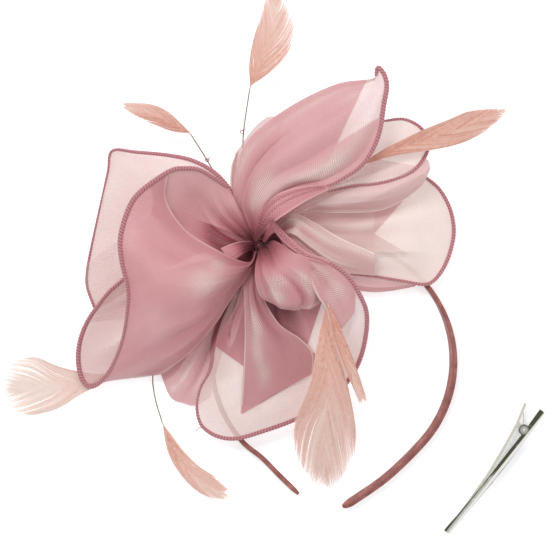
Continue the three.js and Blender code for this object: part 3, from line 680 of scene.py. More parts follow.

# Each sheet: ribs across it from the gathered centre outwards; which edge follows which hem;
# gathers and their depth in mm; folds as (place across at the neck, at the rim, height in mm,
# width, first and last place along); tone at the neck and rim, and where it turns, deeper for
# more layers and in places painted shade; cover; tucks as (share, lip radius in mm) of the first
# and last side; the plain solids it stands for; painted_lights as (place across, place along,
# width, length, strength), painted highlights, and painted shade where the strength is below
# zero; and linings, extra layers kept on the left of upright cuts given as point and direction.
SHEETS = {
    "left_back_sheet": dict(ribs=[
        [(-4, 7, 16), (-6.5, 4, 16.5), (-8, -1, 16)],
        [(-6.5, 13, 18), (-17, 16, 19), (-24, 8, 18), (-26, -4, 15)],
        [(-8, 18, 19.5), (-30, 28, 18), (-48, 24, 15), (-53, 4, 13), (-51, -16, 9)],
        HEMS["left_back"],
    ], hem=("rim", "left_back"), gathers=9, depth=1.4, tone=(0.8, 0.15), cover=SINGLE,
        folds=[(0.3, 0.25, 1.5, 0.05, 0.4, 1), (0.6, 0.75, -1.2, 0.06, 0.4, 1)],
        replaces=["petal_left_back"],
        linings=[dict(cuts=[((-66.8, 1.8), (-11.6, -8.2))], tone=(0.8, 0.1), cover=0.25)],
    ),
    "top_back_sheet": dict(ribs=[
        [(-4, 7.5, 16), (0, 9, 17)],
        [(-11, 24, 17.5), (2, 26, 18)],
        [(-11.5, 36, 19), (8, 40, 19.5)],
        [(-9.6, 43, 20), (-6.2, 48.6, 20.5), (-0.2, 56.4, 21), (6.4, 61.1, 21.5), (14, 60, 21.5)],
    ], gathers=4, depth=1, tone=(0.6, 0.22), cover=SINGLE, tucks=[(0.12, 0.5), None],
        replaces=["petal_top_back"],
    ),
    "lower_left_sheet": dict(ribs=[
        [(-7, -8.5, 12), (-3.5, -11, 12)],
        [(-20, -28, 11), (-10, -34, 12)],
        [(-38, -56, 6.5), (-30, -64, 8.5), (-18, -58, 10)],
        [(-46.1, -62.9, 3), (-41.3, -73.9, 2), (-35, -76.8, 2), (-29.3, -77.8, 4), (-22, -74, 8.5)],
    # its deep tone near the neck is painted shade, in the gap between the roll and the bottom petal
    ], gathers=4, depth=1.2, tone=(0.86, 0.38), turn=(0.45, 0.85), cover=DOUBLE,
        folds=[(0.35, 0.3, 3, 0.07, 0.35, 1), (0.55, 0.52, -2.4, 0.06, 0.35, 1),
               (0.75, 0.72, 2.6, 0.06, 0.3, 1)],
        tucks=[(0.12, 0.6), None], replaces=["petal_lower_left"],
        painted_lights=[(0.3, 0.75, 0.05, 0.08, 0.9), (0.28, 0.92, 0.06, 0.05, 0.8),
                (0.62, 0.8, 0.05, 0.1, 0.6)],
    ),
    "left_inner_sheet": dict(ribs=[
        [(-7.5, -3, 15), (-6.5, -7, 15), (-4, -10, 15)],
        [(-26, -8, 13), (-28, -24, 13), (-16, -30, 13.5)],
        [(-50, -14, 11), (-56, -38, 10), (-40, -50, 10), (-28, -48, 11)],
        [*HEMS["left_scoop"][:12:-1], (-70, -66, 4), (-57.6, -64.5, 5), (-46, -63, 6)],
    ], gathers=8, depth=1.4, tone=(0.9, 0.2), cover=0.8,
        folds=[(0.3, 0.52, 2.2, 0.05, 0.5, 1), (0.42, 0.62, -1.6, 0.05, 0.5, 1),
               (0.2, 0.25, -1.4, 0.05, 0.5, 1)],
        replaces=["petal_left_inner"],
        linings=[dict(cuts=[((-70, -36.5), (10, 1))], tone=(0.8, 0.18), cover=0.3)],
    ),
    "right_sheet": dict(ribs=[
        [(7, -3, 14.5), (8.5, 1, 15.5), (7.5, 4.5, 15.5)],
        [(24, -9, 15), (26, 3, 18), (24, 15, 16)],
        [(46, -14.4, 13), (52, 0, 16), (50, 20, 15)],
        [(66, -17, 11), (76, 4, 13.5), (68, 28, 14)],
        [(80.9, -19.4, 9), (87, -16.5, 6.5), (91.5, -9.5, 4), (94.8, 0.5, 2.2), (95.4, 8, 2.2),
         (93.1, 18.4, 4), (88, 27, 7), (80, 33.5, 10.5)],
    ], hem=("rim", "right"), gathers=7, depth=1.5, tone=(0.5, 0.02), turn=(0.1, 0.4), cover=0.9,
        folds=[(0.42, 0.3, 0.8, 0.05, 0.5, 1), (0.36, 0.22, -0.6, 0.05, 0.5, 1),
               (0.7, 0.66, 0.8, 0.08, 0.4, 1)],
        replaces=["petal_right"], painted_lights=[(0.68, 0.6, 0.05, 0.06, 0.5), (0.3, 0.9, 0.04, 0.1, 0.3)],
        linings=[
            dict(cuts=[((57, 0), (0, 1)), ((0, 5.6), (-1, 0))], tone=(0.28, 0.16), cover=0.72),
            dict(cuts=[((57, 0), (0, 1)), ((0, 5.6), (1, 0))], tone=(0.36, 0.22), cover=0.75),
            dict(cuts=[((57, 0), (0, -1)), ((56, 4.3), (10.7, 12))], tone=(0.45, 0.3), cover=0.75),
            dict(cuts=[((57, 0), (0, -1)), ((74, -5), (-18, 10.6)), ((56, -4), (18, -1))],
                 tone=(0.2, 0.12), cover=0.6),
        ],
    ),
    "right_front_sheet": dict(ribs=[
        [(9, 8, 20), (10, 5, 20.5), (9, 2, 19)],
        [(17.3, 14.3, 23.5), (18, 8, 26), (17, 1, 23)],
        [(27.5, 10.2, 23), (27, 3, 25.5), (26, -6, 22)],
        [(40, 2.8, 21.5), (39, -4, 22.5), (37, -13, 19)],
        [(57, -5, 18.5), (57, -10, 18), (57, -15.2, 14)],
    ], gathers=5, depth=1.6, tone=(0.16, 0.24), cover=0.86,
        folds=[(0.22, 0.25, 1.2, 0.07, 0.05, 0.9), (0.42, 0.5, -1, 0.06, 0.1, 0.9),
               (0.6, 0.7, 1.6, 0.06, 0.1, 1), (0.8, 0.86, -1.3, 0.05, 0.2, 1)],
        tucks=[(0.1, 0.7), None], replaces=["petal_right"],
        painted_lights=[(0.3, 0.42, 0.22, 0.06, 1.2), (0.25, 0.66, 0.12, 0.12, 0.8),
                (0.08, 0.9, 0.1, 0.12, 0.8), (0.7, 0.75, 0.1, 0.15, 0.4)],
    ),
    "right_under_sheet": dict(ribs=[
        [(43, -13, 12.4), (43.5, -20, 8)],
        [(54, -15.6, 11.5), (54.1, -22.9, 7)],
        [(65, -17, 10.2), (64.6, -22.5, 6)],
        [(77.5, -19, 8), (76.8, -20.4, 6)],
    ], gathers=2, depth=0.5, tone=(0.42, 0.34), cover=0.8, tucks=[None, (0.25, 0.4)],
        replaces=["petal_right"],
    ),
    "right_upper_sheet": dict(ribs=[
        [(3, 7, 19.5), (6, 6, 20), (8, 5, 20.5)],
        [(20, 30, 21.5), (28, 26, 24), (35, 22, 25)],
        [(42, 46, 23.5), (50, 38, 24), (56, 29, 26.5)],
        [(59, 58, 25), (66, 50, 23.5), (70.4, 32.5, 24)],
        [(70.4, 59.8, 24), (77.8, 56.7, 22.5), (82.6, 48.5, 21.5), (80.5, 41, 22), (76.2, 36, 23)],
    ], hem=("rim", "right_upper"), gathers=6, depth=1.4, tone=(0.4, 0), turn=(0.1, 0.45),
        cover=0.76, folds=[(0.5, 0.45, 1.6, 0.07, 0.3, 0.95), (0.75, 0.75, -1.4, 0.06, 0.3, 0.95)],
        replaces=["petal_right_upper"],
        linings=[dict(cuts=[((75.7, 37.6), (-21.7, 3.7))], tone=(0.2, 0.15), cover=0.4)],
    ),
    "right_fold_sheet": dict(ribs=[
        [(4, 8, 20), (8, 5, 20.5), (9.5, 1.5, 18)],
        [(20, 22, 24.5), (24, 18.5, 25), (25, 15, 20.5)],
        [(35, 26.5, 26.5), (38, 20.5, 26), (38, 15.3, 21)],
        [(57, 28.8, 26), (61, 23, 25.5), (61, 16.8, 19.5)],
        [(75, 35, 23), (78, 31, 22.5), (78, 26.6, 18)],
        [(80.5, 41, 22), (82.8, 40, 20.5), (83.8, 36, 17)],
    ], gathers=4, depth=1, tone=(0.52, 0.25), turn=(0.12, 0.4), cover=0.86,
        folds=[(0.5, 0.5, 0.4, 0.1, 0.3, 1)], tucks=[None, (0.16, 0.5)],
        replaces=["petal_right_fold"], painted_lights=[(0.5, 0.45, 0.2, 0.08, 0.3)],
    ),
    "bottom_sheet": dict(ribs=[
        [(-4, -9, 16), (0, -10.5, 17), (5, -9, 18), (9, -3, 20), (9, 5, 23)],
        [(-6, -18, 18), (0, -28, 20), (12, -30, 22), (22, -18, 27), (14, 0, 31)],
        [(-13, -40, 17), (-8, -62, 15), (12, -66, 15), (30, -52, 18), (39, -34, 26), (26, -10, 33)],
        HEMS["bottom"][:-2],
    ], hem=("rim", "bottom"), gathers=10, depth=1.8, tone=(0.9, 0.11), turn=(0.2, 0.7), cover=0.74,
        folds=[(0.1, 0.06, 1.5, 0.02, 0.2, 1), (0.22, 0.2, 1.2, 0.03, 0.4, 1),
               (0.34, 0.34, -1.5, 0.03, 0.4, 1), (0.55, 0.55, 1.6, 0.04, 0.4, 1)],
        replaces=["petal_bottom"],
        painted_lights=[(0, 0.6, 0.012, 0.25, 1.2), (0.22, 0.86, 0.03, 0.06, 0.9),
                (0.4, 0.86, 0.05, 0.05, 0.6), (0.05, 0.72, 0.025, 0.1, 0.9),
                (0.62, 0.75, 0.03, 0.06, 0.8), (0.15, 0.75, 0.03, 0.06, 0.5),
                (0.75, 0.9, 0.03, 0.06, 0.5)],
        linings=[
            dict(cuts=[((-7, -82), (-3, -67)), ((-7, -82), (34, 20)), ((24, -50.5), (7.2, 21.5))],
                 tone=(0.95, 0.47), turn=(0.45, 0.8)),
            # this layer's deeper tone is in part painted shadow below the puff
            dict(cuts=[((-7, -82), (34, 20)), ((24, -50.5), (-7.2, -21.5)),
                       ((24, -51.5), (-12, 2))],
                 tone=(0.85, 0.52), turn=(0.5, 0.85)),
            dict(cuts=[((-5, -60), (-1, 40)), ((-18, -50), (13, -9.5))],
                 tone=(0.95, 0.62), turn=(0.2, 0.7)),
        ],
    ),
    "bottom_pleat": dict(ribs=[
        [(-4, -12, 20), (1.5, -11, 22)],
        [(-5, -24, 22.5), (-1, -23.5, 24), (2.6, -23.5, 23)],
        [(-5, -38, 21.5), (2, -38, 23.5), (10.6, -37.9, 22.5)],
        [(-5.3, -52, 19), (6, -50, 21), (21, -45.5, 21.5)],
        [(-6, -67, 15.5), (10, -61.5, 17.5), (27, -52.5, 20)],
        [(-7, -81.5, 12.5), (8, -72.5, 14.5), (27, -62.5, 17)],
    ], gathers=3, depth=0.7, tone=(0.7, 0.42), turn=(0, 0.5), cover=0.72,
        folds=[(0.35, 0.25, 1.2, 0.1, 0.1, 0.95), (0.7, 0.6, -0.7, 0.12, 0.1, 0.9)],
        tucks=[(0.06, 0.5), (0.05, 0.4)], replaces=["petal_bottom"],
        # the last, below zero, is a painted shadow below the puff
        painted_lights=[(0.36, 0.5, 0.16, 0.09, 1.1), (0.22, 0.66, 0.09, 0.09, 1),
                (0.3, 0.82, 0.1, 0.08, 0.7), (0.72, 0.45, 0.2, 0.22, -0.8)],
    ),
    "puff_sheet": dict(ribs=[
        [(1.5, -3, 28), (5, -2.5, 29.5), (9, 1.5, 30)],
        [(-0.2, -12, 31), (8, -12, 37.5), (18, -4, 36)],
        [(0.4, -19, 30.5), (12, -20, 38), (21, -16, 38.5), (24, -6.5, 36)],
        [(2.2, -24.5, 28.5), (13, -28.5, 34), (22, -28, 36), (28, -21, 35), (28, -11, 35)],
        [(4.7, -26.6, 26.5), (13.5, -31, 29), (20.5, -32, 30), (28, -29.5, 30.5), (32.5, -26, 31)],
        [(7, -23, 24), (14, -27, 25.5), (21, -28, 26.5), (27, -26, 27.5), (30, -22, 28)],
    ], gathers=5, depth=1.3, tone=(0.9, 0.44), turn=(0, 0.35), cover=0.86,
        folds=[(0.25, 0.3, 1.2, 0.07, 0.2, 0.9), (0.55, 0.62, -2.4, 0.05, 0.35, 0.95),
               (0.72, 0.74, 1.8, 0.05, 0.3, 0.95), (0.1, 0.12, -0.8, 0.04, 0.2, 0.8)],
        tucks=[(0.07, 0.6), None], replaces=["centre_puff"],
        painted_lights=[(0.45, 0.45, 0.16, 0.08, 1.1), (0.3, 0.58, 0.1, 0.06, 1),
                (0.75, 0.52, 0.06, 0.07, 0.7), (0.5, 0.8, 0.35, 0.025, 1.1),
                (0.68, 0.62, 0.03, 0.1, 1)],
    ),
    "bottom_turnover": dict(ribs=[
        [(7.5, 9.5, 32.5), (9, 5.5, 33)],
        [(13, 3.2, 34.3), (13.5, -1, 34)],
        [(21.4, -4.2, 35.3), (20.3, -8, 35)],
        [(33.5, -9, 35.2), (25.5, -15, 37)],
        [(42.5, -15, 34), (29.5, -24, 36.5)],
        [(47, -22, 32.5), (34.5, -31.5, 33.5)],
        [(47.2, -33, 29.5), (40.5, -41.5, 28.5)],
    ], gathers=3, depth=0.9, tone=(0.6, 0.4), cover=0.8,
        folds=[(0.35, 0.4, 1, 0.12, 0.1, 1), (0.65, 0.6, -0.9, 0.1, 0.2, 1)],
        tucks=[None, (0.14, 0.6)], replaces=["petal_bottom"],
        painted_lights=[(0.6, 0.57, 0.3, 0.1, 0.9), (0.5, 0.78, 0.3, 0.08, 0.6)],
    ),
    "scoop_throat_sheet": dict(ribs=[
        [(-2, 7, 22), (-4.5, 5.5, 23), (-6, 2, 22), (-5, -6, 20)],
        [(-8, 17, 26), (-15, 15, 24), (-20, 7, 21), (-17, -6, 22)],
        [(-11, 23, 27), (-24, 24, 26), (-32, 14, 24), (-34, 2, 26)],
        [(-13, 26.9, 28), (-19.2, 31.7, 29.5), (-25.6, 34.8, 31), (-33.6, 36, 32.5),
         (-41.5, 34.4, 34), (-47, 28, 33), (-50, 14, 32)],
    ], gathers=7, depth=1.8, tone=(0.9, 0.42), turn=(0.2, 0.6), cover=0.86,
        folds=[(0.62, 0.42, 1.6, 0.07, 0.1, 0.75), (0.35, 0.22, 1, 0.08, 0.3, 0.95)],
        replaces=["petal_left_scoop"],
        linings=[
            # the throat's deep tone: its extra layers, and painted shade under the roll
            dict(cuts=[((-4.8, 2.7), (-23.2, 9.1))],
                 tone=(0.88, 0.42), turn=(0.5, 0.74), cover=0.9),
        ],
    ),
    "scoop_inner_fold": dict(ribs=[
        [(-2.5, 1, 23), (-2, -3, 23)],
        [(-8, 0.8, 25.5), (-6, -4.8, 26)],
        [(-12.5, -0.6, 26.5), (-9.5, -7, 27)],
        [(-16.6, -2.3, 27), (-12.5, -8, 27.5)],
    ], gathers=2, depth=0.6, tone=(0.9, 0.55), turn=(0.2, 0.8), cover=0.9,
        tucks=[(0.2, 0.35), None], replaces=["petal_left_scoop"],
    ),
    "scoop_roll_sheet": dict(ribs=[
        [(-3.6, -9.2, 26), (-4, -11, 27), (-2.5, -12.5, 23)],
        [(-17.8, -3.4, 31.5), (-18, -13, 34.5), (-16, -21, 30), (-12, -26.4, 20)],
        [(-33.6, 6.9, 32.5), (-34, -8, 37.5), (-31, -25, 37), (-26, -36, 29), (-20.8, -40, 18)],
        [(-42.6, 21, 32.5), (-49, 6, 36.5), (-50, -14, 38.5), (-47, -36, 34), (-40, -51, 23),
         (-33.6, -54, 14)],
        [*HEMS["left_scoop"][3:12], (-74.5, -65.8, 8.5), (-66, -65, 8), (-57.6, -63.6, 8),
         (-47, -63, 9)],
    ], gathers=6, depth=1.3, tone=(0.5, 0.52), turn=(0.1, 0.8), cover=0.88,
        folds=[(0.16, 0.13, 0.8, 0.05, 0.15, 1), (0.26, 0.22, -1.5, 0.09, 0.35, 1),
               (0.45, 0.4, 1.6, 0.12, 0.1, 0.95), (0.7, 0.66, 1.2, 0.06, 0.5, 1),
               (0.8, 0.76, -1.3, 0.05, 0.5, 1), (0.9, 0.86, 1.2, 0.04, 0.4, 1)],
        tucks=[(0.07, 0.8), (0.09, 0.8)], replaces=["petal_left_scoop"],
        painted_lights=[(0.4, 0.5, 0.16, 0.1, 1), (0.18, 0.4, 0.1, 0.06, 0.8), (0.62, 0.8, 0.1, 0.06, 0.5),
                (0.27, 0.93, 0.06, 0.05, 0.35)],
    ),
    "top_sheet": dict(ribs=[
        [(-5, 8, 21), (-1, 9, 24), (3, 8, 26)],
        [(-9.3, 20, 22), (-2, 20, 30), (8, 19.5, 31)],
        [(-9, 34, 24), (4, 34, 34), (20, 26, 32)],
        [(-3, 49.5, 26), (16, 44, 36), (35, 28, 33)],
        [(15.8, 64.6, 28), (33, 56, 37), (51, 38, 34)],
        [(37.8, 75.6, 30), (50, 66, 36), (59.5, 55.5, 35)],
        [(52, 78, 31), (58, 73, 34), (62.2, 70, 34)],
        [(57.3, 79.4, 32), (58.8, 83.2, 33.2), (61.6, 80, 34)],
    ], hem=("side", "top"), gathers=6, depth=1.4, tone=(0.62, 0.2), turn=(0, 0.3), cover=0.76,
        folds=[(0.26, 0.3, -2, 0.05, 0.25, 0.6), (0.48, 0.52, 1.2, 0.09, 0.1, 0.9),
               (0.68, 0.66, -0.8, 0.06, 0.1, 0.8), (0.82, 0.8, 1.3, 0.07, 0.08, 0.8),
               (0.94, 0.92, -0.9, 0.04, 0.1, 0.75), (0.12, 0.16, 1, 0.05, 0.1, 0.9)],
        tucks=[(0.08, 0.7), None], replaces=["petal_top"],
        painted_lights=[(0.65, 0.24, 0.14, 0.05, 1), (0.62, 0.33, 0.12, 0.06, 0.9),
                (0.83, 0.5, 0.07, 0.08, 0.9), (0.08, 0.42, 0.06, 0.1, 0.6),
                (0.12, 0.68, 0.09, 0.07, 0.4), (0.36, 0.76, 0.09, 0.07, 0.55)],
        linings=[
            dict(cuts=[((38.4, 47.5), (12, 25.9))], tone=(0.75, 0.42), turn=(0, 0.3)),
            dict(cuts=[((38.4, 47.5), (-12, -25.9)), ((59.5, 60.5), (-21.1, -13))],
                 tone=(0.7, 0.34), turn=(0, 0.4)),
        ],
    ),
}

GRID_ROWS = 100
GRID_COLUMNS = 130
LINING_GAP = 0.6
GATHER_REACH = 11.0  # mm from the centre over which the tone deepens, for denser gathered cloth and painted shade
PAINTED_VALLEY_SHADE = 0.08  # painted shade in valleys and painted light on ridges: the tone deepens per mm below the sheet's own level, and lightens per mm above it
LIP_PAINTED_HIGHLIGHT, LIP_COVER = 0.24, 0.93  # a rolled lip is lighter by the first, a painted highlight along it, and covers the second
LIP_STARTS = (0.1, 0.4)  # shares of the way out over which the lip takes on that look
TURN = (0.1, 0.7)  # shares of the way out between which most sheets' tone changes
NECK_TONE, NECK_COVER = 0.95, 1.8  # how far the gathers deepen the tone, denser cloth and painted shade at the centre, and close the cloth
CLOSED_TONES = (0.6, 0.9)  # folds this deep in tone let less and less light through
PAINTED_LIGHT_LIMITS = (-0.8, 1.2)  # the least, a painted shaded patch, and the greatest, a painted highlight


def fields_of(grid, heights, spec):
    """The tone, with its painted shade, the cover and the painted light at each point of a sheet.
    """
    rows, columns = grid.shape[:2]
    u = np.linspace(0, 1, columns)[None, :]
    v = np.linspace(0, 1, rows)[:, None]
    first, last = spec.get("turn", TURN)
    neck, rim = spec["tone"]
    middle = placed([(KNOT_X, KNOT_Y, 20.0)])[0]
    far = np.linalg.norm(grid[..., :2] - middle[:2], axis=2)
    gathered = np.exp(-(far / (GATHER_REACH * MM)) ** 2)
    # painted shade in the folds' valleys, painted light on their ridges
    tone = neck + (rim - neck) * smoothstep(first, last, v) - PAINTED_VALLEY_SHADE * heights / MM
    # deeper near the gathered centre: denser cloth and painted shade
    tone = tone + (1 - tone) * NECK_TONE * gathered
    cover = spec["cover"] + (1.0 - spec["cover"]) * np.clip(NECK_COVER * gathered, 0, 1)
    cover = np.maximum(cover, smoothstep(*CLOSED_TONES, tone))
    painted_light = np.zeros((rows, columns))
    for across, along, wide, tall, strength in spec.get("painted_lights", []):
        painted_light += strength * np.exp(-((u - across) / wide) ** 2 - ((v - along) / tall) ** 2)
    return [np.clip(tone, 0, 1), np.clip(cover, 0, 1), np.clip(painted_light, *PAINTED_LIGHT_LIMITS)]


def cloth_object(name, grid, fields):
    rows, columns = grid.shape[:2]
    obj = make_object(name, grid.reshape(-1, 3), grid_faces(rows, columns), ORGANZA)
    for attribute, values in zip(("tone", "cover", "painted_light"), fields):
        set_values(obj, attribute, values)
    across = np.linalg.norm(np.diff(grid, axis=1), axis=2)
    along = np.linalg.norm(np.diff(grid, axis=0), axis=2)
    u = np.concatenate([np.zeros((rows, 1)), np.cumsum(across, axis=1)], axis=1)
    v = np.concatenate([np.zeros((1, columns)), np.cumsum(along, axis=0)], axis=0)
    u -= u[:, [columns // 2]]
    set_map(obj, np.stack([u, v], axis=2).reshape(-1, 2))
    return obj


def cut_away(obj, cuts):
    """Keeps the cloth to the left of each upright cut."""
    mesh = bmesh.new()
    mesh.from_mesh(obj.data)
    for (x, y), (dx, dy) in cuts:
        at = placed([(x, y, 0.0)])[0]
        bmesh.ops.bisect_plane(
            mesh, geom=mesh.verts[:] + mesh.edges[:] + mesh.faces[:], plane_co=at,
            plane_no=(dy, -dx, 0), clear_outer=True,
        )
    mesh.to_mesh(obj.data)
    mesh.free()


FILLS = (0.5, 0.98)  # least and greatest shares of the worked-out rectangle that a piece fills
LEAST_SIDE = 0.0101


def declare_sheet(obj):
    """Works out the rectangle the piece was cut from, its bounding cut, and its own area in it, and
    attaches the piece to the flower.
    """
    points = np.empty(len(obj.data.loops) * 2, np.float32)
    obj.data.uv_layers["cloth"].data.foreach_get("uv", points)
    points = points.reshape(-1, 2)
    width, length = (float(side) for side in points.max(axis=0) - points.min(axis=0))
    area = sum(face.area for face in obj.data.polygons)
    fill = area / (width * length)
    fit = math.sqrt(fill / min(max(fill, FILLS[0]), FILLS[1]))
    width, length = (max(side * fit, LEAST_SIDE) for side in (width, length))
    area = min(max(area, FILLS[0] * width * length), width * length)
    attach(obj, "flower", "organza")


def with_tucks(grid, fields, tucks):
    """Tucks a sheet's first and last sides, and carries each row's values on over them."""
    along = smoothstep(*LIP_STARTS, np.linspace(0, 1, len(grid)))[:, None]
    for side, tuck in zip(("first", "last"), tucks):
        if tuck:
            share, radius = tuck
            wider = edge_tucked(grid, share, radius * MM, side)
            added = wider.shape[1] - grid.shape[1]
            room = (added, 0) if side == "first" else (0, added)
            fields = [np.pad(field, ((0, 0), room), mode="edge") for field in fields]
            lip = slice(0, added + 2) if side == "first" else slice(-added - 2, None)
            # painted highlight along the rolled lip
            fields[0][:, lip] = np.clip(fields[0][:, lip] - LIP_PAINTED_HIGHLIGHT * along, 0, 1)
            fields[1][:, lip] = np.maximum(fields[1][:, lip], LIP_COVER * along)
            grid = wider
    return grid, fields


def add_petals():
    for seed, (name, spec) in enumerate(SHEETS.items()):
        grid = sheet_grid(cored(spec["ribs"]), GRID_COLUMNS, GRID_ROWS)
        heights = fold_heights(grid, spec["gathers"], spec["depth"], spec.get("folds", []), seed)
        grid = grid + grid_normals(grid) * heights[..., None]
        if "hem" in spec:
            edge, hem = spec["hem"]
            grid = snapped(grid, edge, HEMS[hem])
        fields = fields_of(grid, heights, spec)
        for i, lining in enumerate(spec.get("linings", [])):
            lifted = grid + grid_normals(grid) * LINING_GAP * MM
            look = {"cover": DOUBLE, "painted_lights": spec.get("painted_lights", []), **lining}
            fields_here = fields_of(grid, heights, look)
            layer = cloth_object(f"{name}_layer_{i + 1}", lifted, fields_here)
            cut_away(layer, lining["cuts"])
            declare_sheet(layer)
        points, fields = with_tucks(grid, fields, spec.get("tucks", []))
        sheet = cloth_object(name, points, fields)
        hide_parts(*spec["replaces"])
        declare_sheet(sheet)


# ---- broad stitched bands, where hems turn face on beside the knot ----

BANDS = {
    "top": [
        [(-0.4, 1.2, 26.5), (0.2, 1.0, 26.5)],
        [(1.0, 9.5, 28.6), (3.6, 5.6, 29.2)],
        [(2.8, 16.5, 30.6), (7.4, 9.6, 31.6)],
        [(9.6, 23.2, 32.4), (13.6, 14.0, 33.4)],
        [(20.4, 27.0, 33.4), (23.6, 20.4, 33.8)],
        [(34.0, 28.2, 33.8), (34.6, 26.2, 33.8)],
    ],
    "bottom": [
        [(5.8, 11.6, 32.8), (8.2, 11.4, 32.8)],
        [(9.4, 5.6, 34.8), (11.8, 7.0, 34.8)],
        [(15.2, -0.5, 36.0), (17.0, 1.7, 36.0)],
        [(23.0, -6.1, 36.2), (24.0, -4.1, 36.1)],
        [(31.1, -8.7, 36.1), (31.7, -7.0, 36.0)],
        [(37.7, -11.6, 35.0), (38.1, -10.6, 35.0)],
    ],
}
BAND_STITCH_PITCH = 1.7
BAND_STITCH_START = 9.0
BEAD_LEAN = (0.55, 0.83)  # how far a bead of thread points across the band, and along it
BEAD_RISE, BEAD_REACH, BEAD_RADIUS = 0.35, 0.75, 0.30


def add_band_stitches(name, grid, rows_at):
    """Slanting stitches in lines along a band, each a small ridged bead of thread."""
    vertices, faces, crowns = [], [], []
    normals = grid_normals(grid)
    columns = grid.shape[1]
    for at in rows_at:
        column = int(at * (columns - 1))
        line, up = grid[:, column], normals[:, column]
        side = unit(grid[:, min(column + 2, columns - 1)] - grid[:, column - 2])
        run = run_of(line)
        for centre in np.arange(BAND_STITCH_START, run[-1] / MM - 0.6, BAND_STITCH_PITCH) * MM:
            at_line, at_up, at_side = (sample(run, f, centre) for f in (line, up, side))
            ahead = unit(sample(run, line, centre + 0.3 * MM) - at_line)
            lean = BEAD_LEAN[0] * at_side + BEAD_LEAN[1] * ahead
            share = np.linspace(-1, 1, 7)
            path = at_line + (BEAD_RISE * at_up + lean * share[:, None] * BEAD_REACH) * MM
            radii = BEAD_RADIUS * MM * np.sqrt(1 - 0.9 * share**2)
            ring, sides = swept(path, radii, 6)
            faces += [tuple(k + len(vertices) for k in face) for face in sides]
            vertices += list(ring)
            # painted highlight on each bead's middle, painted shade at its ends
            crowns += list(np.repeat(1 - 0.6 * share**2, 6))
    obj = make_object(name, vertices, faces, HEM_THREAD)
    set_values(obj, "stitch", crowns)
    attach(obj, "flower", "hem_thread")


def add_bands():
    """The turned hem cloth itself, deep in tone, with stitches in one or two lines."""
    for name, ribs in BANDS.items():
        grid = sheet_grid(ribs, 24, 90)
        # with a painted highlight across the band's middle
        look = dict(tone=(0.85, 0.60), cover=0.96, painted_lights=[(0.5, 0.45, 0.3, 0.2, 0.5)])
        fields = fields_of(grid, np.zeros(grid.shape[:2]), look)
        points, fields = with_tucks(grid, fields, [(0.2, 0.35), (0.2, 0.35)])
        cloth = cloth_object(f"turned_hem_{name}", points, fields)
        declare_sheet(cloth)
        rows_at = (0.25, 0.5) if name == "top" else (0.5,)
        add_band_stitches(f"turned_stitches_{name}", grid, rows_at)


# ---- gathered centre ----

WRAP_WIDTH = 3.4  # mm across the wrap's middle
WRAP_DROP = 4.0  # mm that its top sits below the knot's own
WRAP_PLEATS, WRAP_TWIST = 7, 5


def add_gather_wrap():
    """A tight twist of organza round the gathered ends, deep among the petals' necks."""
    rows, columns = 40, 96
    around = np.linspace(0, 2 * math.pi, columns, endpoint=False)
    low, high = knot_low.z, knot_high.z - WRAP_DROP * MM
    vertices = []
    for share in np.linspace(0, 1, rows):
        width = WRAP_WIDTH * MM / 2 * (0.25 + math.sin(math.pi * (0.12 + 0.82 * share)) ** 0.7)
        for angle in around:
            twisted = WRAP_PLEATS * angle + WRAP_TWIST * share
            pleat = 1 + 0.12 * math.sin(twisted) + 0.05 * math.sin(15 * angle)
            vertices.append((
                knot_middle.x + width * pleat * math.cos(angle),
                knot_middle.y + width * pleat * math.sin(angle),
                low + (high - low) * share,
            ))
    faces = tube_faces(rows, columns)
    del faces[-2]  # it is open underneath, where it goes into the base
    wrap = make_object("gather_wrap", vertices, faces, ORGANZA)
    # tone 1 gives the ramp's near-black end: painted shade, deep among the necks
    for attribute, value in (("tone", 1.0), ("cover", 1.0), ("painted_light", 0.0)):
        set_values(wrap, attribute, [value] * len(vertices))
    set_map(wrap, np.array([(math.atan2(p[1], p[0]) * 0.004, p[2]) for p in vertices]))
    attach(wrap, "flower", "organza", "gather_knot")


# ---- feathers ----

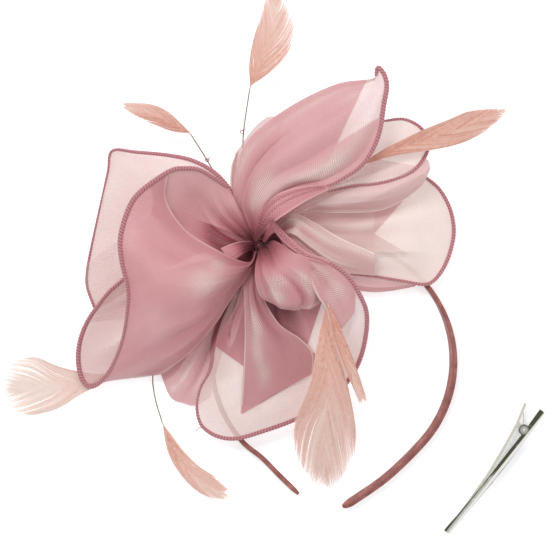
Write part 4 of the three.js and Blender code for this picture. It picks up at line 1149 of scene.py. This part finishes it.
# Each feather: its bare stem; spine points of its vane with its half widths on both sides; slant,
# how far a barb runs towards the tip for each step outwards; and how much paler it is.
FEATHERS = {
    "top": dict(
        stem=[(-2, 10, 12), (-5, 30, 13), (-6.2, 50.4, 14), (-3.1, 74.1, 16)],
        spine=[(-2.6, 76, 16, 1.2, 1.2), (0.5, 84, 17, 4.2, 6), (5, 96, 18, 6.4, 11),
               (8.5, 106, 18, 6.6, 10), (9.5, 117, 17, 5, 3.5), (8.5, 124, 16, 1.2, 1.2)],
        slant=4,
    ),
    "upper_left": dict(
        stem=[(-6, 9, 12), (-14, 24, 13), (-23.5, 40.3, 16), (-31, 52.3, 18)],
        spine=[(-32, 53.5, 18, 1.2, 1.2), (-39, 57, 18.5, 3.2, 3), (-47, 61, 19, 4, 4.5),
               (-56, 64, 18.5, 3, 4), (-65.5, 67.3, 17.5, 0.8, 0.8)],
        slant=5, pale=-0.08,
    ),
    "right": dict(
        stem=[(9, 8, 22.5), (14, 14, 25.5), (32, 27, 29.5), (50, 37.2, 30)],
        spine=[(52, 38.4, 30, 0.9, 0.9), (60, 42.4, 29.3, 1.6, 1.6), (69, 46, 28, 2.6, 3),
               (80, 49.8, 27, 4, 5.2), (94, 54, 25.5, 5.4, 6.6), (107, 59, 22.5, 5.4, 6),
               (121.2, 64.6, 19, 0.8, 0.8)],
        slant=7, pale=-0.2,
    ),
    "left": dict(
        stem=[(-8, -8, 12), (-18, -20, 8), (-34, -36, 6.5), (-56, -53, 2.2), (-68, -61.4, 1.2)],
        spine=[(-70, -62.6, 1, 1, 1), (-78, -65.6, 0.9, 3, 3), (-87, -67.2, 1.3, 5.9, 5.9),
               (-99, -69, 2.8, 11.2, 11.2), (-110, -68.6, 3.6, 14, 14),
               (-118, -69, 3.4, 11.5, 11.5), (-122.5, -69.4, 3, 4.5, 4.5)],
        slant=4.5, pale=0.35,
    ),
    "lower_left": dict(
        stem=[(-6, -10, 12), (-16, -24, 8), (-32, -38, 5.4), (-46, -53, 2.2), (-49.8, -63.2, 1.5),
              (-48.9, -73.9, 1.4), (-45.6, -85.5, 1.7)],
        spine=[(-44.8, -87.6, 1.9, 0.8, 0.8), (-38.8, -100.5, 3, 3, 3.2),
               (-31, -110.5, 3.4, 4.4, 4.4), (-22.4, -117, 3.2, 5, 4.6),
               (-12.6, -121.5, 2.6, 2.4, 2.4)],
        slant=6,
    ),
    "front": dict(
        stem=[(9, -6, 27.5), (20, -16, 29), (33.1, -28.8, 31.5)],
        spine=[(33.4, -31, 31.8, 1.5, 1.5), (33.6, -50, 32, 5, 5), (34.8, -64, 29.5, 8, 8),
               (34.5, -76, 26, 11.4, 11.4), (33.3, -88, 21.5, 14.3, 14.3),
               (32.9, -98, 17.8, 14, 14), (33.1, -108, 14.4, 10.5, 10.5), (32.8, -117.5, 11, 4, 4)],
        slant=9, pale=0.03,
    ),
    "front_small": dict(
        stem=[(11, -4, 28.5), (22, -13, 31), (34, -28, 34.5)],
        spine=[(34.8, -30, 34.7, 1, 1), (40.2, -45.8, 35, 2.2, 2.2), (45.8, -60.5, 32.5, 2.4, 2.4),
               (51.6, -76, 28, 1.9, 1.9)],
        slant=5, pale=-0.12,
    ),
}

FEATHER_SEED = 50
STEM_RADIUS = 0.4
BARB_PITCH = 0.5
BARB_POINTS = 12
BARB_WIDTH = 0.7
LEAST_BEND = 3.0  # mm over which the shortest barbs turn along the shaft
LOCK_CHANCE, LOCK_SPREAD = 0.09, 0.03  # how often a new lock starts, and how much they differ
LAST_BARB = 0.97  # share of the shaft along which barbs start
REACHED, RAGGED, BENT = (0.90, 1.0), (0.93, 1.04), (0.85, 1.15)  # how much barbs differ
LEAST_BARB = 2.0  # mm of shaft that a barb needs beyond its start
BARB_LIFT, VANE_DROOP = 0.25, 0.05  # mm by which ends part; slope of the vane to its edges


def vane_line(spine):
    """Points, side directions and half widths, evenly along the vane."""
    middle = placed([s[:3] for s in spine])
    shares = np.linspace(0, 1, 24 * len(spine))
    line = spline(middle, shares)
    widths = spline(np.array([[s[3], s[4], 0.0] for s in spine]) * MM, shares)
    run = run_of(line)
    along = unit(np.gradient(line, axis=0))
    side = unit(np.stack([-along[:, 1], along[:, 0], np.zeros(len(along))], axis=1))
    return run, line, side, widths


def sample(run, values, at):
    return np.stack([np.interp(at, run, values[:, k]) for k in range(3)], axis=-1)


def barb_run(start, bend, reach, run, widths):
    """How far out a barb lies at places along the shaft: it leaves at a slant, turns along the
    vane, and ends where it meets the vane's edge."""
    at = np.linspace(start, reach, 80)
    widest = np.interp(at, run, np.maximum.accumulate(widths))
    out = (1 - np.exp(-(at - start) / bend)) * widest
    beyond = np.nonzero(out > np.interp(at, run, widths))[0]
    inside = len(at) if len(beyond) == 0 else max(beyond[0], 2)
    share = np.linspace(0, inside - 1, BARB_POINTS)
    steps = np.arange(len(at))
    return np.interp(share, steps, at), np.interp(share, steps, out)


def lay_barb(draw, shape, hand, start, lock, slant):
    """A barb's places along the shaft, and the points down its middle, if it has room."""
    run, line, side, widths = shape
    ragged = lock * draw.uniform(*RAGGED)
    wide = np.interp(start, run, np.maximum.accumulate(widths))
    bend = max(LEAST_BEND * MM, slant * wide / 2) * draw.uniform(*BENT)
    reach = run[-1] * draw.uniform(*REACHED)
    if reach - start < LEAST_BARB * MM:
        return None
    at, out = barb_run(start, bend, reach, run, widths * ragged)
    points = sample(run, line, at) + sample(run, side, at) * (hand * out)[:, None]
    lift = draw.uniform(-BARB_LIFT, BARB_LIFT) * MM
    points[:, 2] += -VANE_DROOP * out + lift * np.linspace(0, 1, BARB_POINTS)
    return at, points


def add_vane(name, spine, slant, pale, seed):
    """Barbs laid side by side from the middle shaft, in locks that part, with ragged ends."""
    draw = np.random.default_rng(seed)
    run, line, side, widths = vane_line(spine)
    count = int(run[-1] / (BARB_PITCH * MM))
    share = np.linspace(0, 1, BARB_POINTS)
    thick = BARB_WIDTH / 2 * MM * (1 - 0.75 * share**2)
    vertices, faces, tips, streaks = [], [], [], []
    for hand, column in ((1, 0), (-1, 1)):
        lock, shade = 1.0, 0.5
        for i in range(count):
            if draw.random() < LOCK_CHANCE:
                lock = draw.normal(1, LOCK_SPREAD)
                shade = draw.uniform(0.2, 0.8)
            start = LAST_BARB * run[-1] * (i + draw.uniform(0, 0.9)) / count
            barb = lay_barb(draw, (run, line, side, widths[:, column]), hand, start, lock, slant)
            if barb is None:
                continue
            at, points = barb
            half = unit(np.cross(np.gradient(points, axis=0), (0, 0, 1.0))) * thick[:, None]
            corners = range(len(vertices), len(vertices) + 2 * BARB_POINTS - 2, 2)
            faces += [(a, a + 1, a + 3, a + 2) for a in corners]
            vertices += list(np.stack([points - half, points + half], axis=1).reshape(-1, 3))
            tips += list(np.repeat(share**2, 2))
            tint = 0.34 * shade + 0.48 * at / run[-1] + pale + draw.normal(0, 0.08)
            streaks += list(np.repeat(np.clip(tint, 0, 1), 2))
    vane = make_object(f"vane_{name}", vertices, faces, FEATHER)
    set_values(vane, "tip", tips)
    set_values(vane, "streak", streaks)
    attach(vane, "flower", "feather", f"feather_{name}")


def add_shaft(name, spine, stem):
    """The vane's middle shaft, from the bare stem's end, narrowing to its tip."""
    run, line, _, _ = vane_line(spine)
    path = np.vstack([placed(stem[-1:]), line[run < 0.9 * run[-1]]])
    radii = np.linspace(0.34, 0.05, len(path)) * MM
    shaft = tube(f"shaft_{name}", path - (0, 0, 0.3 * MM), radii, 6, RACHIS)
    attach(shaft, "flower", "feather")


def add_stem(name, stem):
    path = spaced(placed(stem), 0.8 * MM)
    radii = np.linspace(1.0, 0.75, len(path)) * STEM_RADIUS * MM
    quill = tube(f"quill_{name}", path, radii, 8, QUILL)
    attach(quill, "flower", "quill", f"stem_{name}")


# small ties of thread on two bare stems, and a loose end at the bottom hem
TIES = {"tie_top": (-6.8, 54, 14.4), "tie_upper_left": (-23.5, 40.3, 16)}
THREAD_RADIUS = 0.16
LOOSE_END = [(-26.2, -88.2, 10.6), (-27.6, -88.6, 10.8), (-28.4, -89.6, 10.4), (-29.6, -90.2, 10)]


def add_threads():
    for name, (x, y, z) in TIES.items():
        coil = [
            (x + math.cos(turn) * (0.75 + 0.02 * turn), y + math.sin(turn) * 0.75, z + 0.05 * turn)
            for turn in np.arange(-6, 9, 0.4)
        ]
        tail = [(x + 1.2, y + 1.0, z + 0.6), (x + 2.0, y + 1.7, z + 0.2)]
        add_thread(name, coil + tail)
    add_thread("loose_end", LOOSE_END)


def add_thread(name, route):
    path = spaced(placed(route), 0.12 * MM)
    thread = tube(name, path, np.full(len(path), THREAD_RADIUS * MM), 6, THREAD)
    attach(thread, "flower", "hem_thread")


def add_feathers():
    for seed, (name, spec) in enumerate(FEATHERS.items()):
        add_vane(name, spec["spine"], spec["slant"], spec.get("pale", 0.0), seed + FEATHER_SEED)
        add_shaft(name, spec["spine"], spec["stem"])
        add_stem(name, spec["stem"])


# ---- headband ----

BAND_CENTRE = (37.0, -56.6)
BAND_RADIUS = 58.3
BAND_ARC = (-44, 222, 14)  # degrees at its two ends, and from point to point
BAND_HEIGHT = 5.0
BAND_THICK = 2.4
BAND_CORNER = 0.7
BAND_Z = 3.5
BAND_LEAN = 32.0  # degrees outwards on the right limb
BAND_UPRIGHT = (0.20, 0.42)  # shares of its length over which the band comes upright
TIP_LENGTH = 5.0
SEAM_INSET, SEAM_RADIUS, SEAM_PITCH, SEAM_SHADE = 0.22, 0.30, 2.6, 0.22
RIGHT_END = [(41.7, -126.9), (47.5, -123.4), (63.2, -112.3)]
LEFT_END = [(2.9, -103.2), (11.5, -111.9), (20.6, -120.7)]


def band_path():
    """Round the head from the right limb's end to the left limb's."""
    arc = [
        (BAND_CENTRE[0] + BAND_RADIUS * math.cos(angle),
         BAND_CENTRE[1] + BAND_RADIUS * math.sin(angle))
        for angle in map(math.radians, range(BAND_ARC[0], BAND_ARC[1] + 1, BAND_ARC[2]))
    ]
    return spaced(placed([(*p, BAND_Z) for p in RIGHT_END + arc + LEFT_END]), 0.7 * MM)


def rounded_outline(width, height, corner):
    """A rectangle with round corners, as points about its middle."""
    points = []
    for k, (sx, sy) in enumerate(((1, -1), (1, 1), (-1, 1), (-1, -1))):
        for turn in np.linspace(90 * k - 90, 90 * k, 5):
            angle = math.radians(turn)
            points.append((
                sx * (width / 2 - corner) + corner * math.cos(angle),
                sy * (height / 2 - corner) + corner * math.sin(angle),
            ))
    return np.array(points)


def band_directions(path, share):
    """The ways across the band's thickness and up its height, with one limb leaning out."""
    tangent = unit(np.gradient(path, axis=0))
    out = np.stack([tangent[:, 1], -tangent[:, 0], np.zeros(len(path))], axis=1)
    lean = math.radians(BAND_LEAN) * (1 - smoothstep(*BAND_UPRIGHT, share))[:, None]
    up = np.array([0, 0, 1.0])
    return out * np.cos(lean) - up * np.sin(lean), out * np.sin(lean) + up * np.cos(lean)


def add_ribbon(path, run, across, up, near_end):
    """The satin sleeve, slightly crinkled, and pressed flat at its two pointed ends."""
    outline = rounded_outline(BAND_THICK, BAND_HEIGHT, BAND_CORNER) * MM
    tall = 0.22 + 0.78 * np.sin(near_end * math.pi / 2) ** 0.8
    thick = 0.5 + 0.5 * np.sin(near_end * math.pi / 2) ** 0.6
    crinkle = 1 + 0.015 * np.sin(run / (1.7 * MM)) * np.sin(run / (5.3 * MM))
    rings = (
        path[:, None]
        + across[:, None] * (outline[None, :, :1] * (thick * crinkle)[:, None, None])
        + up[:, None] * (outline[None, :, 1:] * tall[:, None, None])
    )
    faces = tube_faces(len(path), len(outline))
    band = make_object("satin_band", rings.reshape(-1, 3), faces, SATIN)
    edge = run_of(outline)
    coordinates = np.stack(np.broadcast_arrays(run[:, None], edge[None, :]), axis=2)
    set_map(band, coordinates.reshape(-1, 2))
    attach(band, "headband", "satin_ribbon",
           "band_ribbon", "band_core", "band_tip_left", "band_tip_right")


def add_band():
    path = band_path()
    run = run_of(path)
    across, up = band_directions(path, run / run[-1])
    near_end = np.clip(np.minimum(run, run[-1] - run) / (TIP_LENGTH * MM), 0, 1)
    add_ribbon(path, run, across, up, near_end)
    seam_line = path + (
        across * (SEAM_INSET - BAND_THICK / 2) + up * (BAND_HEIGHT / 2 - SEAM_INSET)
    ) * MM
    keep = near_end > 0.99
    radii = SEAM_RADIUS * MM * (0.8 + 0.2 * np.sin(run[keep] * 2 * math.pi / (SEAM_PITCH * MM)))
    seam = tube("band_seam", seam_line[keep], radii, 6, HEM_THREAD)
    set_values(seam, "stitch", [SEAM_SHADE] * len(seam.data.vertices))
    attach(seam, "headband", "satin_ribbon")


# ---- hard pieces, with their own materials ----


def add_spring():
    """The clip's coiled spring, as a mesh of its own in place of the plain solid; the real one
    twists as the lever turns its upper leg.
    """
    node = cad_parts["clip_spring"]
    corners = [node.matrix_world @ corner.co for corner in node.data.vertices]
    sides = [tuple(face.vertices) for face in node.data.polygons]
    spring = make_object("clip_coil", corners, sides, NICKEL_PALE_REFLECTION)
    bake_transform(spring)
    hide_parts("clip_spring")


CLIP_BEVEL = 0.12


def refinish():
    finishes = {
        "keeper_loop_left": SATIN, "keeper_loop_right": SATIN, "backing_felt": FELT,
        "base_disc": SINAMAY, "binding_thread": THREAD, "clip_body_leaf": NICKEL_DARK_REFLECTION,
        "clip_lever_leaf": NICKEL_PALE_REFLECTION, "clip_pivot_pin": NICKEL_PALE_REFLECTION,
    }
    for name, material in finishes.items():
        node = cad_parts[name]
        node.data.materials.clear()
        node.data.materials.append(material)
    for name in ("clip_body_leaf", "clip_lever_leaf", "clip_pivot_pin"):
        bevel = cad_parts[name].modifiers.new("bevel", "BEVEL")
        bevel.width = CLIP_BEVEL * MM
        bevel.segments = 2
        bevel.limit_method = "ANGLE"


# ---- floor and light ----

FLOOR_GLOW = 0.42
SKY = 0.58
LAMPS = {"key": ((-0.6, 0.85, 1.8), 0.8, 17.0), "fill": ((1.1, 0.2, 1.3), 1.0, 4.0)}


def add_floor():
    """A pale table that glows a little, lit from within."""
    n = Nodes("floor", Roughness=0.9, Specular_IOR_Level=0.1, Emission_Strength=FLOOR_GLOW,
              Emission_Color=(1.0, 1.0, 1.0, 1.0))
    n.color(n.noise(60.0, 2.0), (0.3, (0.88, 0.91, 0.95)), (0.7, (0.90, 0.93, 0.97)))
    size, level = 3.0, -0.0003
    corners = [(-size, -size, level), (size, -size, level), (size, size, level),
               (-size, size, level)]
    floor = make_object("floor", corners, [(0, 1, 2, 3)], n.material, smooth=False)


def add_area(name, location, size, watts):
    data = bpy.data.lights.new(name, "AREA")
    data.shape = "DISK"
    data.size = size
    data.energy = watts
    light = bpy.data.objects.new(name, data)
    light.location = location
    light.rotation_euler = Vector(location).to_track_quat("Z", "Y").to_euler()
    bpy.context.scene.collection.objects.link(light)


def add_light():
    scene = bpy.context.scene
    world = bpy.data.worlds.new("studio")
    scene.world = world
    world.use_nodes = True
    background = world.node_tree.nodes["Background"]
    background.inputs["Color"].default_value = (1.0, 1.0, 1.0, 1.0)
    background.inputs["Strength"].default_value = SKY
    scene.view_settings.view_transform = "Standard"
    for name, (location, size, watts) in LAMPS.items():
        add_area(name, location, size, watts)


# ---- the whole ----

hems = add_hems()
add_gather_wrap()
add_petals()
add_bands()
add_feathers()
add_threads()
add_band()
add_spring()
refinish()
add_floor()
add_light()
